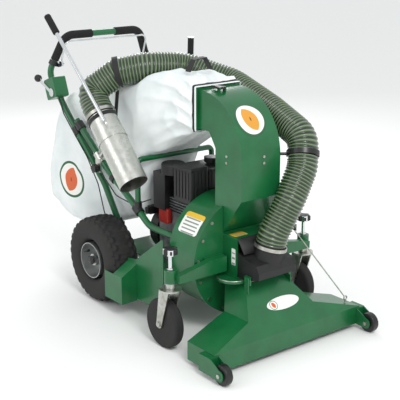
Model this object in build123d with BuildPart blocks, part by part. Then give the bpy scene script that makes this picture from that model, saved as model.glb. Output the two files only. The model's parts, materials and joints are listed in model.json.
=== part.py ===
from build123d import *
import os
from math import atan2, cos, degrees, radians, sin

# Walk-behind leaf vacuum mulcher with an on-board hose and wand.
# Frame: millimetres, +Z up, the suction nozzle towards -Y and the handlebar towards +Y.
# The origin is on the ground under the middle of the machine.
# "right" is the operator's right hand, which is the -X side.
os.makedirs("parts", exist_ok=True)

SIDES = {"right": -1, "left": 1}

# ---- Layout: the places that everything else hangs from ----
nozzle_axle_y = -757.0
fan_face_y = -402.0
rear_axle_y = 230.0
fan_axis_z = 320.0
deck_top_z = 212.0
deck_thick = 5.0
run_gap = 1.0
slide_gap = 0.4
bore_gap = 0.05

# ---- Nozzle ----
nozzle_half = 386.0
nozzle_sheet = 3.0
nozzle_front_y = nozzle_axle_y + 55.0
nozzle_rear_y = nozzle_axle_y + 217.0
nozzle_skirt_z = 20.0
nozzle_crease_z = 95.0
nozzle_knee_z = 150.0
nozzle_knee_half = 172.0
nozzle_knee_front_y = nozzle_axle_y + 112.0
nozzle_knee_rear_y = nozzle_axle_y + 257.0
nozzle_top_z = 256.0
nozzle_top_front_y = nozzle_axle_y + 214.0
nozzle_top_rear_y = nozzle_axle_y + 340.0
duct_half = 100.0
nozzle_wheel_r = 40.0
nozzle_wheel_w = 30.0
nozzle_bolt_r = 5.0
bracket_thick = 4.0
gate_thick = 3.0
gate_z = 264.0
gate_length = 270.0
float_pin_r = 5.0

# ---- Rear wheels and transaxle ----
tyre_r = 190.0
tyre_w = 146.0
tyre_x = 261.0
rim_r = 91.0
axle_r = 9.5
hub_r = 26.0

# ---- Casters ----
caster_x = 354.0
caster_y = -392.0
caster_trail = 38.0
caster_wheel_r = 101.0
caster_wheel_w = 44.0
caster_plate_z = 256.0
caster_plate_r = 45.0
caster_sleeve_r = 25.0
caster_sleeve_top = 313.0
caster_rod_r = 8.0
caster_axle_r = 6.0
knob_z = 407.0
knob_r = 30.0

# ---- Fan housing and discharge chute ----
scroll_r = 240.0
scroll_depth = 171.0
sheet = 3.0
plate_thick = 4.0
inlet_r = 92.0
impeller_r = 190.5
impeller_depth = 96.0
shaft_r = 12.7
chute_half = 100.0
chute_front_y = fan_face_y - 108.0
chute_rear_y = fan_face_y + 50.0
chute_nose_z = 430.0
chute_break_z = 582.0
chute_base_z = 600.0
chute_seam_z = 735.0
elbow_r = 250.0
outlet_y = -240.0
outlet_height = 157.0
flange = 10.0

# ---- Tubes of the handle and frame ----
tube_r = 14.0
tube_wall = 2.0
frame_tube_x = 200.0
grip_r = 18.5

# ---- Hose and wand ----
hose_r = 62.5
hose_wall = 2.5
port_r = 59.0
wand_r = 61.0
wand_wall = 1.6
wand_x = -300.0
wand_low = Vector(wand_x, -76.0, 596.0)
wand_high = Vector(wand_x, 152.0, 836.0)
bolt_r = 5.0


def route_tube(points, radii, outer, wall=0.0):
    """A round tube or rod along straight runs joined by tangent arcs."""
    with BuildPart() as piece:
        with BuildLine() as route:
            FilletPolyline(*points, radius=radii)
        path = route.wires()[0]
        with BuildSketch(Plane(origin=path @ 0, z_dir=path % 0)):
            Circle(outer)
            if wall:
                Circle(outer - wall, mode=Mode.SUBTRACT)
        sweep(path=path)
    return piece


def rod_between(start, end, radius, wall=0.0):
    """A straight round bar or tube from one point to another."""
    start = Vector(*start)
    along = Vector(*end) - start
    with BuildPart() as piece:
        with BuildSketch(Plane(origin=start, z_dir=along.normalized())):
            Circle(radius)
            if wall:
                Circle(radius - wall, mode=Mode.SUBTRACT)
        extrude(amount=along.length)
    return piece




# =====================================================================
# Chassis: the engine deck, its side plates and the guards at the wheels
# =====================================================================
deck_front_y = fan_face_y + plate_thick + scroll_depth + run_gap
plate_x = 264.0
tyre_clear_y = rear_axle_y - tyre_r - 12.0
deck_rear_half = 150.0
deck_rear_y = 300.0
deck_low_z = deck_top_z - deck_thick
side_low_z = 78.0
guard_out_x = 346.0
guard_front_y = -34.0
guard_low_z = 70.0
guard_high_z = 190.0
guard_wing_y = 92.0
side_high_z = 388.0
side_break_z = 255.0

with BuildPart() as chassis_deck:
    with BuildSketch(Plane.XY.offset(deck_low_z)):
        with BuildLine():
            Polyline(
                (-plate_x, deck_front_y),
                (plate_x, deck_front_y),
                (plate_x, tyre_clear_y),
                (deck_rear_half, tyre_clear_y),
                (deck_rear_half, deck_rear_y),
                (-deck_rear_half, deck_rear_y),
                (-deck_rear_half, tyre_clear_y),
                (-plate_x, tyre_clear_y),
                close=True,
            )
        make_face()
    extrude(amount=deck_thick)
    for side in SIDES.values():
        inner = plate_x if side > 0 else -plate_x - plate_thick
        with BuildSketch(Plane.YZ.offset(inner)):
            with BuildLine():
                Polyline(
                    (deck_front_y, side_low_z),
                    (deck_front_y, side_high_z),
                    (deck_front_y + 10, side_high_z),
                    (guard_front_y, side_break_z),
                    (tyre_clear_y, side_break_z - 10),
                    (tyre_clear_y, side_low_z),
                    close=True,
                )
            make_face()
        extrude(amount=plate_thick)
chassis_deck.part.label = "chassis_deck"
export_step(chassis_deck.part, "parts/chassis_deck.step")

with BuildPart() as wheel_guards:
    for side in SIDES.values():
        near = side * (plate_x + plate_thick)
        far = side * guard_out_x
        with BuildSketch(Plane.XZ.offset(-tyre_clear_y)):
            with BuildLine():
                Polyline(
                    (near, guard_low_z),
                    (near, side_break_z - 20),
                    (far, guard_high_z),
                    (far, guard_low_z),
                    close=True,
                )
            make_face()
            with BuildLine():
                Polyline(
                    (near + side * sheet, guard_low_z + sheet),
                    (near + side * sheet, side_break_z - 20 - sheet),
                    (far - side * sheet, guard_high_z - sheet),
                    (far - side * sheet, guard_low_z + sheet),
                    close=True,
                )
            make_face(mode=Mode.SUBTRACT)
        extrude(amount=tyre_clear_y - guard_front_y)
        with BuildSketch(Plane.XZ.offset(-guard_front_y)):
            with BuildLine():
                Polyline(
                    (near, guard_low_z),
                    (near, side_break_z - 20),
                    (far, guard_high_z),
                    (far, guard_low_z),
                    close=True,
                )
            make_face()
        extrude(amount=sheet)
        wing = (far - side * sheet / 2, (tyre_clear_y + guard_wing_y) / 2, (guard_low_z + guard_high_z) / 2)
        with Locations(wing):
            Box(sheet, guard_wing_y - tyre_clear_y, guard_high_z - guard_low_z)
wheel_guards.part.label = "wheel_guards"
export_step(wheel_guards.part, "parts/wheel_guards.step")

# The transaxle: a gear case under the deck and the axle that the wheels turn on
case_half = 60.0
case_depth = 90.0
case_low_z = 140.0
with BuildPart() as transaxle:
    with Locations((0, rear_axle_y, (case_low_z + deck_low_z) / 2)):
        Box(2 * case_half, case_depth, deck_low_z - case_low_z)
    fillet(transaxle.edges().filter_by(Axis.X), 14)
    with BuildSketch(Plane.YZ.offset(-tyre_x - 30)):
        with Locations((rear_axle_y, tyre_r)):
            Circle(axle_r)
    extrude(amount=2 * (tyre_x + 30))
    for side in SIDES.values():
        with Locations((side * (deck_rear_half - 20), rear_axle_y, (tyre_r + deck_low_z) / 2 - 5)):
            Box(12, 60, deck_low_z - tyre_r + 10)
transaxle.part.label = "transaxle"
export_step(transaxle.part, "parts/transaxle.step")

# =====================================================================
# Rear wheels: turf tyres on pressed steel rims
# =====================================================================
rim_inset = 18.0
bead = 12.0
for name, side in SIDES.items():
    with BuildPart() as tyre:
        with BuildSketch(Plane.YZ.offset(side * tyre_x - tyre_w / 2)):
            with Locations((rear_axle_y, tyre_r)):
                Circle(tyre_r)
                Circle(rim_r - bead, mode=Mode.SUBTRACT)
        extrude(amount=tyre_w)
        outer_edges = tyre.edges().filter_by(GeomType.CIRCLE).filter_by(lambda e: e.radius > rim_r)
        fillet(outer_edges, 26)
    tyre.part.label = name + "_tyre"
    export_step(tyre.part, f"parts/{name}_tyre.step")

    with BuildPart() as rim:
        with BuildSketch(Plane.YZ.offset(side * tyre_x - tyre_w / 2 + 4)):
            with Locations((rear_axle_y, tyre_r)):
                Circle(rim_r - bead)
                Circle(rim_r - bead - sheet, mode=Mode.SUBTRACT)
        extrude(amount=tyre_w - 8)
        with BuildSketch(Plane.YZ.offset(side * tyre_x - sheet)):
            with Locations((rear_axle_y, tyre_r)):
                Circle(rim_r - bead)
                Circle(axle_r + bore_gap, mode=Mode.SUBTRACT)
        extrude(amount=2 * sheet)
        with BuildSketch(Plane.YZ.offset(side * tyre_x - tyre_w / 2 + rim_inset)):
            with Locations((rear_axle_y, tyre_r)):
                Circle(hub_r)
                Circle(axle_r + bore_gap, mode=Mode.SUBTRACT)
        extrude(amount=tyre_w - 2 * rim_inset)
    rim.part.label = name + "_rim"
    export_step(rim.part, f"parts/{name}_rim.step")

# =====================================================================
# Fan housing, its front plate and the impeller on the engine shaft
# =====================================================================
housing_front_y = fan_face_y + plate_thick
housing_rear_y = housing_front_y + scroll_depth


def nose_outline(inset):
    """YZ outline of the duct above the scroll, drawn in by the sheet's thickness."""
    return [
        (housing_front_y + inset, chute_nose_z + inset),
        (chute_front_y + inset, chute_break_z + inset / 2),
        (chute_front_y + inset, chute_base_z),
        (chute_rear_y - inset, chute_base_z),
        (chute_rear_y - inset, chute_nose_z + inset),
    ]


with BuildPart() as fan_housing:
    with BuildSketch(Plane.XZ.offset(-housing_rear_y)):
        with Locations((0, fan_axis_z)):
            Circle(scroll_r)
    extrude(amount=scroll_depth)
    with BuildSketch(Plane.YZ.offset(-chute_half)):
        with BuildLine():
            Polyline(*nose_outline(0.0), close=True)
        make_face()
    extrude(amount=2 * chute_half)
    with BuildSketch(Plane.XZ.offset(-housing_rear_y + plate_thick)):
        with Locations((0, fan_axis_z)):
            Circle(scroll_r - sheet)
    extrude(amount=scroll_depth, mode=Mode.SUBTRACT)
    with BuildSketch(Plane.YZ.offset(-chute_half + sheet)):
        with BuildLine():
            Polyline(*nose_outline(sheet), close=True)
        make_face()
    extrude(amount=2 * (chute_half - sheet), mode=Mode.SUBTRACT)
    with BuildSketch(Plane.XZ.offset(-housing_front_y + 0.0)):
        with Locations((0, fan_axis_z)):
            Circle(scroll_r + 6)
            Circle(scroll_r - sheet, mode=Mode.SUBTRACT)
        with Locations((0, chute_base_z - 50)):
            Rectangle(2 * chute_half, 300, mode=Mode.SUBTRACT)
    extrude(amount=-sheet)
    with BuildSketch(Plane.XZ.offset(-housing_rear_y)):
        with Locations((0, fan_axis_z)):
            Circle(shaft_r + 8)
    extrude(amount=plate_thick, mode=Mode.SUBTRACT)
fan_housing.part.label = "fan_housing"
export_step(fan_housing.part, "parts/fan_housing.step")

window_low_z = chute_nose_z + sheet
link_x = 126.25
link_pin_y = -560.0
link_pin_z = 459.0
link_pin_r = 3.0
clevis_gap = 6.0
bolt_circle_r = scroll_r - 12.0
bolt_angles = [134, 154, 175, 198, 222, 245, 268, 292, 315, 338, 5, 26, 46]
with BuildPart() as fan_front_plate:
    with BuildSketch(Plane.XZ.offset(-housing_front_y)):
        with Locations((0, fan_axis_z)):
            Circle(scroll_r + 6)
            Circle(inlet_r, mode=Mode.SUBTRACT)
        with Locations((0, window_low_z + 100)):
            Rectangle(2 * chute_half + 2, 200, mode=Mode.SUBTRACT)
    extrude(amount=plate_thick)
    for inner in (link_x - clevis_gap / 2 - 3, link_x + clevis_gap / 2):
        with Locations((inner + 1.5, (fan_face_y + link_pin_y - 10) / 2, link_pin_z)):
            Box(3, fan_face_y - link_pin_y + 10, 24)
    with BuildSketch(Plane.YZ.offset(link_x - clevis_gap / 2)):
        with Locations((link_pin_y, link_pin_z)):
            Circle(link_pin_r)
    extrude(amount=clevis_gap)
    with Locations((link_x, fan_face_y - 2, link_pin_z)):
        Box(40, 4, 60)
fan_front_plate.part.label = "fan_front_plate"
export_step(fan_front_plate.part, "parts/fan_front_plate.step")

bolt_head_r = 7.0
bolt_head_h = 5.0
with BuildPart() as housing_bolts:
    with BuildSketch(Plane.XZ.offset(-fan_face_y)):
        with Locations((0, fan_axis_z)):
            for angle in bolt_angles:
                with Locations((bolt_circle_r * cos(radians(angle)), bolt_circle_r * sin(radians(angle)))):
                    RegularPolygon(bolt_head_r, 6)
    extrude(amount=bolt_head_h)
housing_bolts.part.label = "housing_bolts"
export_step(housing_bolts.part, "parts/housing_bolts.step")

crank_tail_y = 84.0
with BuildPart() as crankshaft:
    with BuildSketch(Plane.XZ.offset(-crank_tail_y)):
        with Locations((0, fan_axis_z)):
            Circle(shaft_r)
    extrude(amount=crank_tail_y - housing_rear_y + plate_thick + 92)
crankshaft.part.label = "crankshaft"
export_step(crankshaft.part, "parts/crankshaft.step")

blade_count = 6
blade_thick = 6.0
backplate_y = housing_rear_y - plate_thick - 14.0
impeller_hub_r = 32.0
with BuildPart() as impeller:
    with BuildSketch(Plane.XZ.offset(-backplate_y)):
        with Locations((0, fan_axis_z)):
            Circle(impeller_r)
            Circle(shaft_r, mode=Mode.SUBTRACT)
    extrude(amount=blade_thick)
    with BuildSketch(Plane.XZ.offset(-backplate_y)):
        with Locations((0, fan_axis_z)):
            Circle(impeller_hub_r)
            Circle(shaft_r, mode=Mode.SUBTRACT)
    extrude(amount=62)
    with BuildSketch(Plane.XZ.offset(-backplate_y)):
        with Locations((0, fan_axis_z)):
            with PolarLocations((impeller_hub_r + impeller_r) / 2 - 1, blade_count):
                Rectangle(impeller_r - impeller_hub_r, blade_thick)
    extrude(amount=impeller_depth)
impeller.part.label = "impeller"
export_step(impeller.part, "parts/impeller.step")

# =====================================================================
# Discharge: a square lower chute and an elbow that faces the bag
# =====================================================================
chute_mid_y = (chute_front_y + chute_rear_y) / 2
chute_deep = chute_rear_y - chute_front_y
with BuildPart() as lower_chute:
    with BuildSketch(Plane.XY.offset(chute_base_z)):
        with Locations((0, chute_mid_y)):
            Rectangle(2 * chute_half, chute_deep)
            Rectangle(2 * (chute_half - sheet), chute_deep - 2 * sheet, mode=Mode.SUBTRACT)
    extrude(amount=chute_seam_z - chute_base_z)
lower_chute.part.label = "lower_chute"
export_step(lower_chute.part, "parts/lower_chute.step")

elbow_centre_y = chute_front_y + elbow_r
outlet_top_z = chute_seam_z + elbow_r
outlet_low_z = outlet_top_z - outlet_height
elbow_lap = 26.0




latch_x = -40.0
latch_y = -316.0
latch_z = 994.0
latch_pin_r = 3.0
with BuildPart() as chute_elbow:
    for inset, mode in ((0.0, Mode.ADD), (sheet, Mode.SUBTRACT)):
        half = chute_half - inset
        front = chute_front_y + inset
        radius = elbow_r - inset
        with BuildSketch(Plane.YZ.offset(-half)):
            with BuildLine():
                Line((front, chute_seam_z), (chute_rear_y - inset, chute_seam_z))
                Line((chute_rear_y - inset, chute_seam_z), (chute_rear_y - inset, outlet_low_z - 60))
                Line((chute_rear_y - inset, outlet_low_z - 60), (chute_rear_y + 40, outlet_low_z + inset))
                Line((chute_rear_y + 40, outlet_low_z + inset), (outlet_y, outlet_low_z + inset))
                Line((outlet_y, outlet_low_z + inset), (outlet_y, outlet_top_z - inset))
                Line((outlet_y, outlet_top_z - inset), (elbow_centre_y, outlet_top_z - inset))
                CenterArc((elbow_centre_y, chute_seam_z), radius, 90, 90)
            make_face()
        extrude(amount=2 * half, mode=mode)
    with BuildSketch(Plane.XZ.offset(-outlet_y)):
        with Locations((0, (outlet_low_z + outlet_top_z) / 2)):
            Rectangle(2 * chute_half + 2 * flange, outlet_height + flange)
            Rectangle(2 * chute_half - 2 * sheet, outlet_height - 2 * sheet, mode=Mode.SUBTRACT)
    extrude(amount=sheet)
    for inner in (latch_x - 16, latch_x + 12):
        with BuildSketch(Plane.YZ.offset(inner)):
            with BuildLine():
                Polyline(
                    (latch_y - 9, latch_z + 5),
                    (latch_y - 9, latch_z - 18.5),
                    (latch_y + 9, latch_z - 13.5),
                    (latch_y + 9, latch_z + 5),
                    close=True,
                )
            make_face()
            with Locations((latch_y, latch_z)):
                Circle(latch_pin_r + bore_gap, mode=Mode.SUBTRACT)
        extrude(amount=4)
chute_elbow.part.label = "chute_elbow"
export_step(chute_elbow.part, "parts/chute_elbow.step")

# Bolt heads along the seam: two on each of the front and side faces
seam_bolt_r = 6.0
seam_bolt_h = 4.0
with BuildPart() as chute_bolts:
    for level in (chute_seam_z - elbow_lap / 2, chute_seam_z + elbow_lap / 2):
        with BuildSketch(Plane.XZ.offset(-chute_front_y)):
            with Locations((12, level)):
                RegularPolygon(seam_bolt_r, 6)
        extrude(amount=seam_bolt_h)
        for side in SIDES.values():
            with BuildSketch(Plane.YZ.offset(side * chute_half - (seam_bolt_h if side < 0 else 0))):
                with Locations((chute_mid_y + 8, level)):
                    RegularPolygon(seam_bolt_r, 6)
            extrude(amount=seam_bolt_h)
chute_bolts.part.label = "chute_bolts"
export_step(chute_bolts.part, "parts/chute_bolts.step")

# =====================================================================
# Intake: a box on the fan's front plate with the gate's rails under it
# =====================================================================
box_front_y = fan_face_y - 88.0
box_top_z = 430.0
frame_low_z = gate_z + gate_thick + 1.0
frame_thick = 3.0
rail_front_y = nozzle_top_front_y - 2.0
rail_rear_y = fan_face_y - 6.6
rail_wall = 3.6
lip = 4.0
throat_half = duct_half - 5.0
float_y = rail_front_y - 17.0
float_z = nozzle_top_z + 27.0
with BuildPart() as intake_box:
    with Locations((0, (box_front_y + fan_face_y) / 2, (frame_low_z + box_top_z) / 2)):
        Box(2 * duct_half, fan_face_y - box_front_y, box_top_z - frame_low_z)
    fillet(intake_box.edges().filter_by(Axis.Y).group_by(Axis.Z)[-1], 8)
    with Locations((0, (rail_front_y + fan_face_y) / 2, frame_low_z + frame_thick / 2)):
        Box(2 * duct_half + 8, fan_face_y - rail_front_y, frame_thick)
    with BuildSketch(Plane.XZ.offset(-fan_face_y + sheet)):
        with Locations((0, (frame_low_z + box_top_z - sheet) / 2)):
            Rectangle(2 * throat_half, box_top_z - sheet - frame_low_z)
    extrude(amount=fan_face_y - sheet - box_front_y, mode=Mode.SUBTRACT)
    with BuildSketch(Plane.XZ.offset(-fan_face_y)):
        with Locations((0, fan_axis_z)):
            Circle(inlet_r - 8)
    extrude(amount=sheet, mode=Mode.SUBTRACT)
    with Locations((0, (rail_front_y + rail_rear_y) / 2 + 1, frame_low_z + frame_thick / 2)):
        Box(2 * throat_half, rail_rear_y - rail_front_y - 20, frame_thick, mode=Mode.SUBTRACT)
    rail_low_z = gate_z - 3.0
    for wall_y, lip_y in (
        (rail_front_y - rail_wall / 2, rail_front_y + lip / 2),
        (rail_rear_y + rail_wall / 2, rail_rear_y - lip / 2),
    ):
        with Locations((0, wall_y, (rail_low_z + frame_low_z + frame_thick) / 2)):
            Box(2 * duct_half + 8, rail_wall, frame_low_z + frame_thick - rail_low_z)
        with Locations((0, lip_y, rail_low_z + 1.2)):
            Box(2 * duct_half + 8, lip, 2.4)
    for side in SIDES.values():
        with Locations((side * (duct_half + 4), float_y + 1.8, (rail_low_z + float_z + 13) / 2)):
            Box(8, 30, float_z + 13 - rail_low_z)
        with BuildSketch(Plane.YZ.offset(side * (duct_half + 11) - 7)):
            with Locations((float_y, float_z)):
                Circle(float_pin_r)
        extrude(amount=14)
intake_box.part.label = "intake_box"
export_step(intake_box.part, "parts/intake_box.step")

# Rubber boot: joins the box to the gate frame in front of it and carries the hose port
boot_wall = 6.0
boot_half = 98.0
boot_low_z = frame_low_z + frame_thick
boot_front_y = rail_front_y - 73.0
port_base = Vector(6.0, box_front_y - 62.0, 346.0)
port_dir = Vector(0.18, -0.10, 0.98).normalized()
port_len = 62.0
port_wall = 5.0
hose_lap = 25.0


def boot_outline(inset):
    """YZ outline of the boot: low at the front, rising to the box."""
    return [
        (box_front_y, boot_low_z + inset),
        (rail_front_y, boot_low_z + inset),
        (boot_front_y + inset, boot_low_z + 21 + inset),
        (boot_front_y + inset, boot_low_z + 47 - inset / 2),
        (boot_front_y + 18, boot_low_z + 74 - inset),
        (box_front_y, boot_low_z + 101 - inset),
    ]


with BuildPart() as intake_boot:
    with BuildSketch(Plane.YZ.offset(-boot_half)):
        with BuildLine():
            Polyline(*boot_outline(0.0), close=True)
        make_face()
    extrude(amount=2 * boot_half)
    with BuildSketch(Plane(origin=port_base - 16 * port_dir, z_dir=port_dir)):
        Circle(port_r)
    extrude(amount=port_len + 16)
    with BuildSketch(Plane.YZ.offset(-boot_half + boot_wall)):
        with BuildLine():
            Polyline(*boot_outline(boot_wall), close=True)
        make_face()
    extrude(amount=2 * (boot_half - boot_wall), mode=Mode.SUBTRACT)
    with BuildSketch(Plane(origin=port_base - 16 * port_dir, z_dir=port_dir)):
        Circle(port_r - port_wall)
    extrude(amount=port_len + 16, mode=Mode.SUBTRACT)
    mouth_back_y = box_front_y - 6.0
    mouth_front_y = rail_front_y + 8.0
    with Locations((0, (mouth_front_y + mouth_back_y) / 2, boot_low_z + boot_wall / 2)):
        Box(2 * (boot_half - boot_wall), mouth_back_y - mouth_front_y, boot_wall, mode=Mode.SUBTRACT)
intake_boot.part.label = "intake_boot"
export_step(intake_boot.part, "parts/intake_boot.step")

# =====================================================================
# Nozzle: a low skirt that rises to the duct, on two small front wheels
# =====================================================================
float_ear_x = duct_half + 10.0
hood_levels = [
    (nozzle_crease_z, nozzle_half, nozzle_front_y, nozzle_rear_y),
    (nozzle_knee_z, nozzle_knee_half, nozzle_knee_front_y, nozzle_knee_rear_y),
    (nozzle_top_z, duct_half, nozzle_top_front_y, nozzle_top_rear_y),
]
skirt_depth = nozzle_rear_y - nozzle_front_y
skirt_mid_y = (nozzle_front_y + nozzle_rear_y) / 2
with BuildPart() as nozzle_hood:
    with BuildSketch(Plane.XY.offset(nozzle_skirt_z)):
        with Locations((0, skirt_mid_y)):
            Rectangle(2 * nozzle_half, skirt_depth)
            Rectangle(2 * (nozzle_half - nozzle_sheet), skirt_depth - 2 * nozzle_sheet, mode=Mode.SUBTRACT)
    extrude(amount=nozzle_crease_z - nozzle_skirt_z)
    for inset, mode in ((0.0, Mode.ADD), (nozzle_sheet, Mode.SUBTRACT)):
        for level, half, front, back in hood_levels:
            with BuildSketch(Plane.XY.offset(level)):
                with Locations((0, (front + back) / 2)):
                    Rectangle(2 * (half - inset), back - front - 2 * inset)
        loft(ruled=True, mode=mode)
    for side in SIDES.values():
        with BuildSketch(Plane.YZ.offset(side * (float_ear_x + 2) - 2)):
            with BuildLine():
                Polyline(
                    (float_y - 12, float_z + 12),
                    (float_y - 12, nozzle_top_z - 30),
                    (float_y + 12, nozzle_top_z - 16),
                    (float_y + 12, float_z + 12),
                    close=True,
                )
            make_face()
            with Locations((float_y, float_z)):
                Circle(float_pin_r + bore_gap, mode=Mode.SUBTRACT)
        extrude(amount=4)
nozzle_hood.part.label = "nozzle_hood"
export_step(nozzle_hood.part, "parts/nozzle_hood.step")

# Brackets for the front wheels: an inner cheek, an outer cheek and a web
cheek_in_x = nozzle_half - 21.0
cheek_out_x = nozzle_half + 21.0
wheel_mid_x = (cheek_in_x + bracket_thick + cheek_out_x) / 2
cheek_round_r = 22.0
with BuildPart() as nozzle_brackets:
    for side in SIDES.values():
        for inner, rear in ((cheek_in_x, nozzle_front_y), (cheek_out_x, nozzle_front_y + 62)):
            start = inner if side > 0 else -inner - bracket_thick
            with BuildSketch(Plane.YZ.offset(start)):
                with BuildLine():
                    Polyline(
                        (rear, 90),
                        (nozzle_front_y, 90),
                        (nozzle_axle_y, nozzle_wheel_r + cheek_round_r),
                        (nozzle_axle_y, nozzle_wheel_r - cheek_round_r),
                        (nozzle_front_y, 22),
                        (rear, 22),
                        close=True,
                    ) if rear > nozzle_front_y else Polyline(
                        (nozzle_front_y, 90),
                        (nozzle_axle_y, nozzle_wheel_r + cheek_round_r),
                        (nozzle_axle_y, nozzle_wheel_r - cheek_round_r),
                        (nozzle_front_y, 22),
                        close=True,
                    )
                make_face()
                with Locations((nozzle_axle_y, nozzle_wheel_r)):
                    Circle(cheek_round_r)
                    Circle(nozzle_bolt_r, mode=Mode.SUBTRACT)
            extrude(amount=bracket_thick)
        web_mid_x = side * (cheek_in_x + cheek_out_x + bracket_thick) / 2
        with Locations((web_mid_x, nozzle_front_y - bracket_thick / 2, 56)):
            Box(cheek_out_x + bracket_thick - cheek_in_x, bracket_thick, 68)
        with Locations((side * (nozzle_half + cheek_out_x) / 2, nozzle_front_y + 31, 88)):
            Box(cheek_out_x - nozzle_half, 62, 4)
nozzle_brackets.part.label = "nozzle_brackets"
export_step(nozzle_brackets.part, "parts/nozzle_brackets.step")

with BuildPart() as nozzle_axles:
    for side in SIDES.values():
        shank = (cheek_in_x, cheek_out_x + bracket_thick)
        start = shank[0] if side > 0 else -shank[1]
        with BuildSketch(Plane.YZ.offset(start)):
            with Locations((nozzle_axle_y, nozzle_wheel_r)):
                Circle(nozzle_bolt_r)
        extrude(amount=shank[1] - shank[0])
        for face in (start - 5, start + shank[1] - shank[0]):
            with BuildSketch(Plane.YZ.offset(face)):
                with Locations((nozzle_axle_y, nozzle_wheel_r)):
                    RegularPolygon(9, 6)
            extrude(amount=5)
nozzle_axles.part.label = "nozzle_axles"
export_step(nozzle_axles.part, "parts/nozzle_axles.step")

for name, side in SIDES.items():
    with BuildPart() as nozzle_wheel:
        with BuildSketch(Plane.YZ.offset(side * wheel_mid_x - nozzle_wheel_w / 2)):
            with Locations((nozzle_axle_y, nozzle_wheel_r)):
                Circle(nozzle_wheel_r)
        extrude(amount=nozzle_wheel_w)
        fillet(nozzle_wheel.edges(), 5)
        with BuildSketch(Plane.YZ.offset(side * wheel_mid_x - nozzle_wheel_w / 2)):
            with Locations((nozzle_axle_y, nozzle_wheel_r)):
                Circle(nozzle_bolt_r + bore_gap)
        extrude(amount=nozzle_wheel_w, mode=Mode.SUBTRACT)
    nozzle_wheel.part.label = name + "_nozzle_wheel"
    export_step(nozzle_wheel.part, f"parts/{name}_nozzle_wheel.step")

# Diverter gate: a plate with a rounded pull end and a wire rim
gate_out_x = -175.0
gate_mid_y = (rail_front_y + rail_rear_y) / 2
gate_half = (rail_rear_y - rail_front_y) / 2 - slide_gap
gate_round = gate_half - 2.0
with BuildPart() as diverter_gate:
    with BuildSketch(Plane.XY.offset(gate_z)):
        with Locations((gate_out_x + gate_round + (gate_length - gate_round) / 2, gate_mid_y)):
            Rectangle(gate_length - gate_round, 2 * gate_half)
        with Locations((gate_out_x + gate_round, gate_mid_y)):
            Circle(gate_round)
    extrude(amount=gate_thick)
    with BuildSketch(Plane.XY.offset(gate_z + gate_thick)):
        with Locations((gate_out_x + gate_round, gate_mid_y)):
            Circle(gate_round)
            Circle(gate_round - 7, mode=Mode.SUBTRACT)
        with Locations((gate_out_x + gate_round + 50, gate_mid_y)):
            Rectangle(100, 3 * gate_half, mode=Mode.SUBTRACT)
    extrude(amount=7)
diverter_gate.part.label = "diverter_gate"
export_step(diverter_gate.part, "parts/diverter_gate.step")

# Lift cable of the nozzle: an eye bolt, the cable and a slotted link on the clevis pin
eye = Vector(350.0, -655.0, 124.0)
cable_top = Vector(link_x, link_pin_y - 14, link_pin_z - 17)
with BuildPart() as lift_cable:
    with Locations((eye.X, eye.Y, 107.5)):
        Cylinder(4, 10, align=(Align.CENTER, Align.CENTER, Align.MIN))
    with Locations(Plane(origin=eye, z_dir=(0, 1, 0)).location):
        Torus(8, 3)
    run = cable_top - eye
    with Locations(Plane(origin=eye + run.normalized() * 7, z_dir=run.normalized()).location):
        Cylinder(2.5, run.length - 7, align=(Align.CENTER, Align.CENTER, Align.MIN))
    with BuildSketch(Plane.YZ.offset(link_x - 1.5)):
        with Locations((link_pin_y - 6, link_pin_z - 3)):
            Rectangle(38, 27)
        with Locations((link_pin_y - 7, link_pin_z)):
            Rectangle(24, 12, mode=Mode.SUBTRACT)
    extrude(amount=3)
lift_cable.part.label = "lift_cable"
export_step(lift_cable.part, "parts/lift_cable.step")

# =====================================================================
# Hose and wand
# =====================================================================
hose_start = port_base + port_dir * (port_len - hose_lap)
wand_dir = (wand_high - wand_low).normalized()
hose_route = [
    hose_start,
    port_base + port_dir * 100,
    Vector(95, -577, 575),
    Vector(172, -562, 690),
    Vector(210, -522, 800),
    Vector(209, -333, 880),
    Vector(186, -110, 966),
    Vector(60, 58, 1026),
    Vector(-100, 110, 1035),
    Vector(-200, 178, 1012),
    wand_high + wand_dir * 128 + Vector(6, -6, 6),
    wand_high + wand_dir * 60,
    wand_high,
]
hose_bends = [120, 150, 150, 100, 200, 150, 150, 150, 100, 70, 100]


def along_hose(outer, wall=0.0):
    """Round section carried along the whole of the hose's route."""
    return route_tube(hose_route, hose_bends, outer, wall)


suction_hose = along_hose(hose_r, hose_wall)
hose_envelope = along_hose(hose_r)
suction_hose.part.label = "suction_hose"
export_step(suction_hose.part, "parts/suction_hose.step")

band = 3.5
band_w = 14.0
with BuildPart() as hose_clamps:
    for start, along in ((hose_start + port_dir * 5, port_dir), (wand_high + wand_dir * 4, wand_dir)):
        with Locations(Plane(origin=start, z_dir=along).location):
            Cylinder(hose_r + band, band_w, align=(Align.CENTER, Align.CENTER, Align.MIN))
            Cylinder(hose_r, band_w, align=(Align.CENTER, Align.CENTER, Align.MIN), mode=Mode.SUBTRACT)
hose_clamps.part.label = "hose_clamps"
export_step(hose_clamps.part, "parts/hose_clamps.step")

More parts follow.
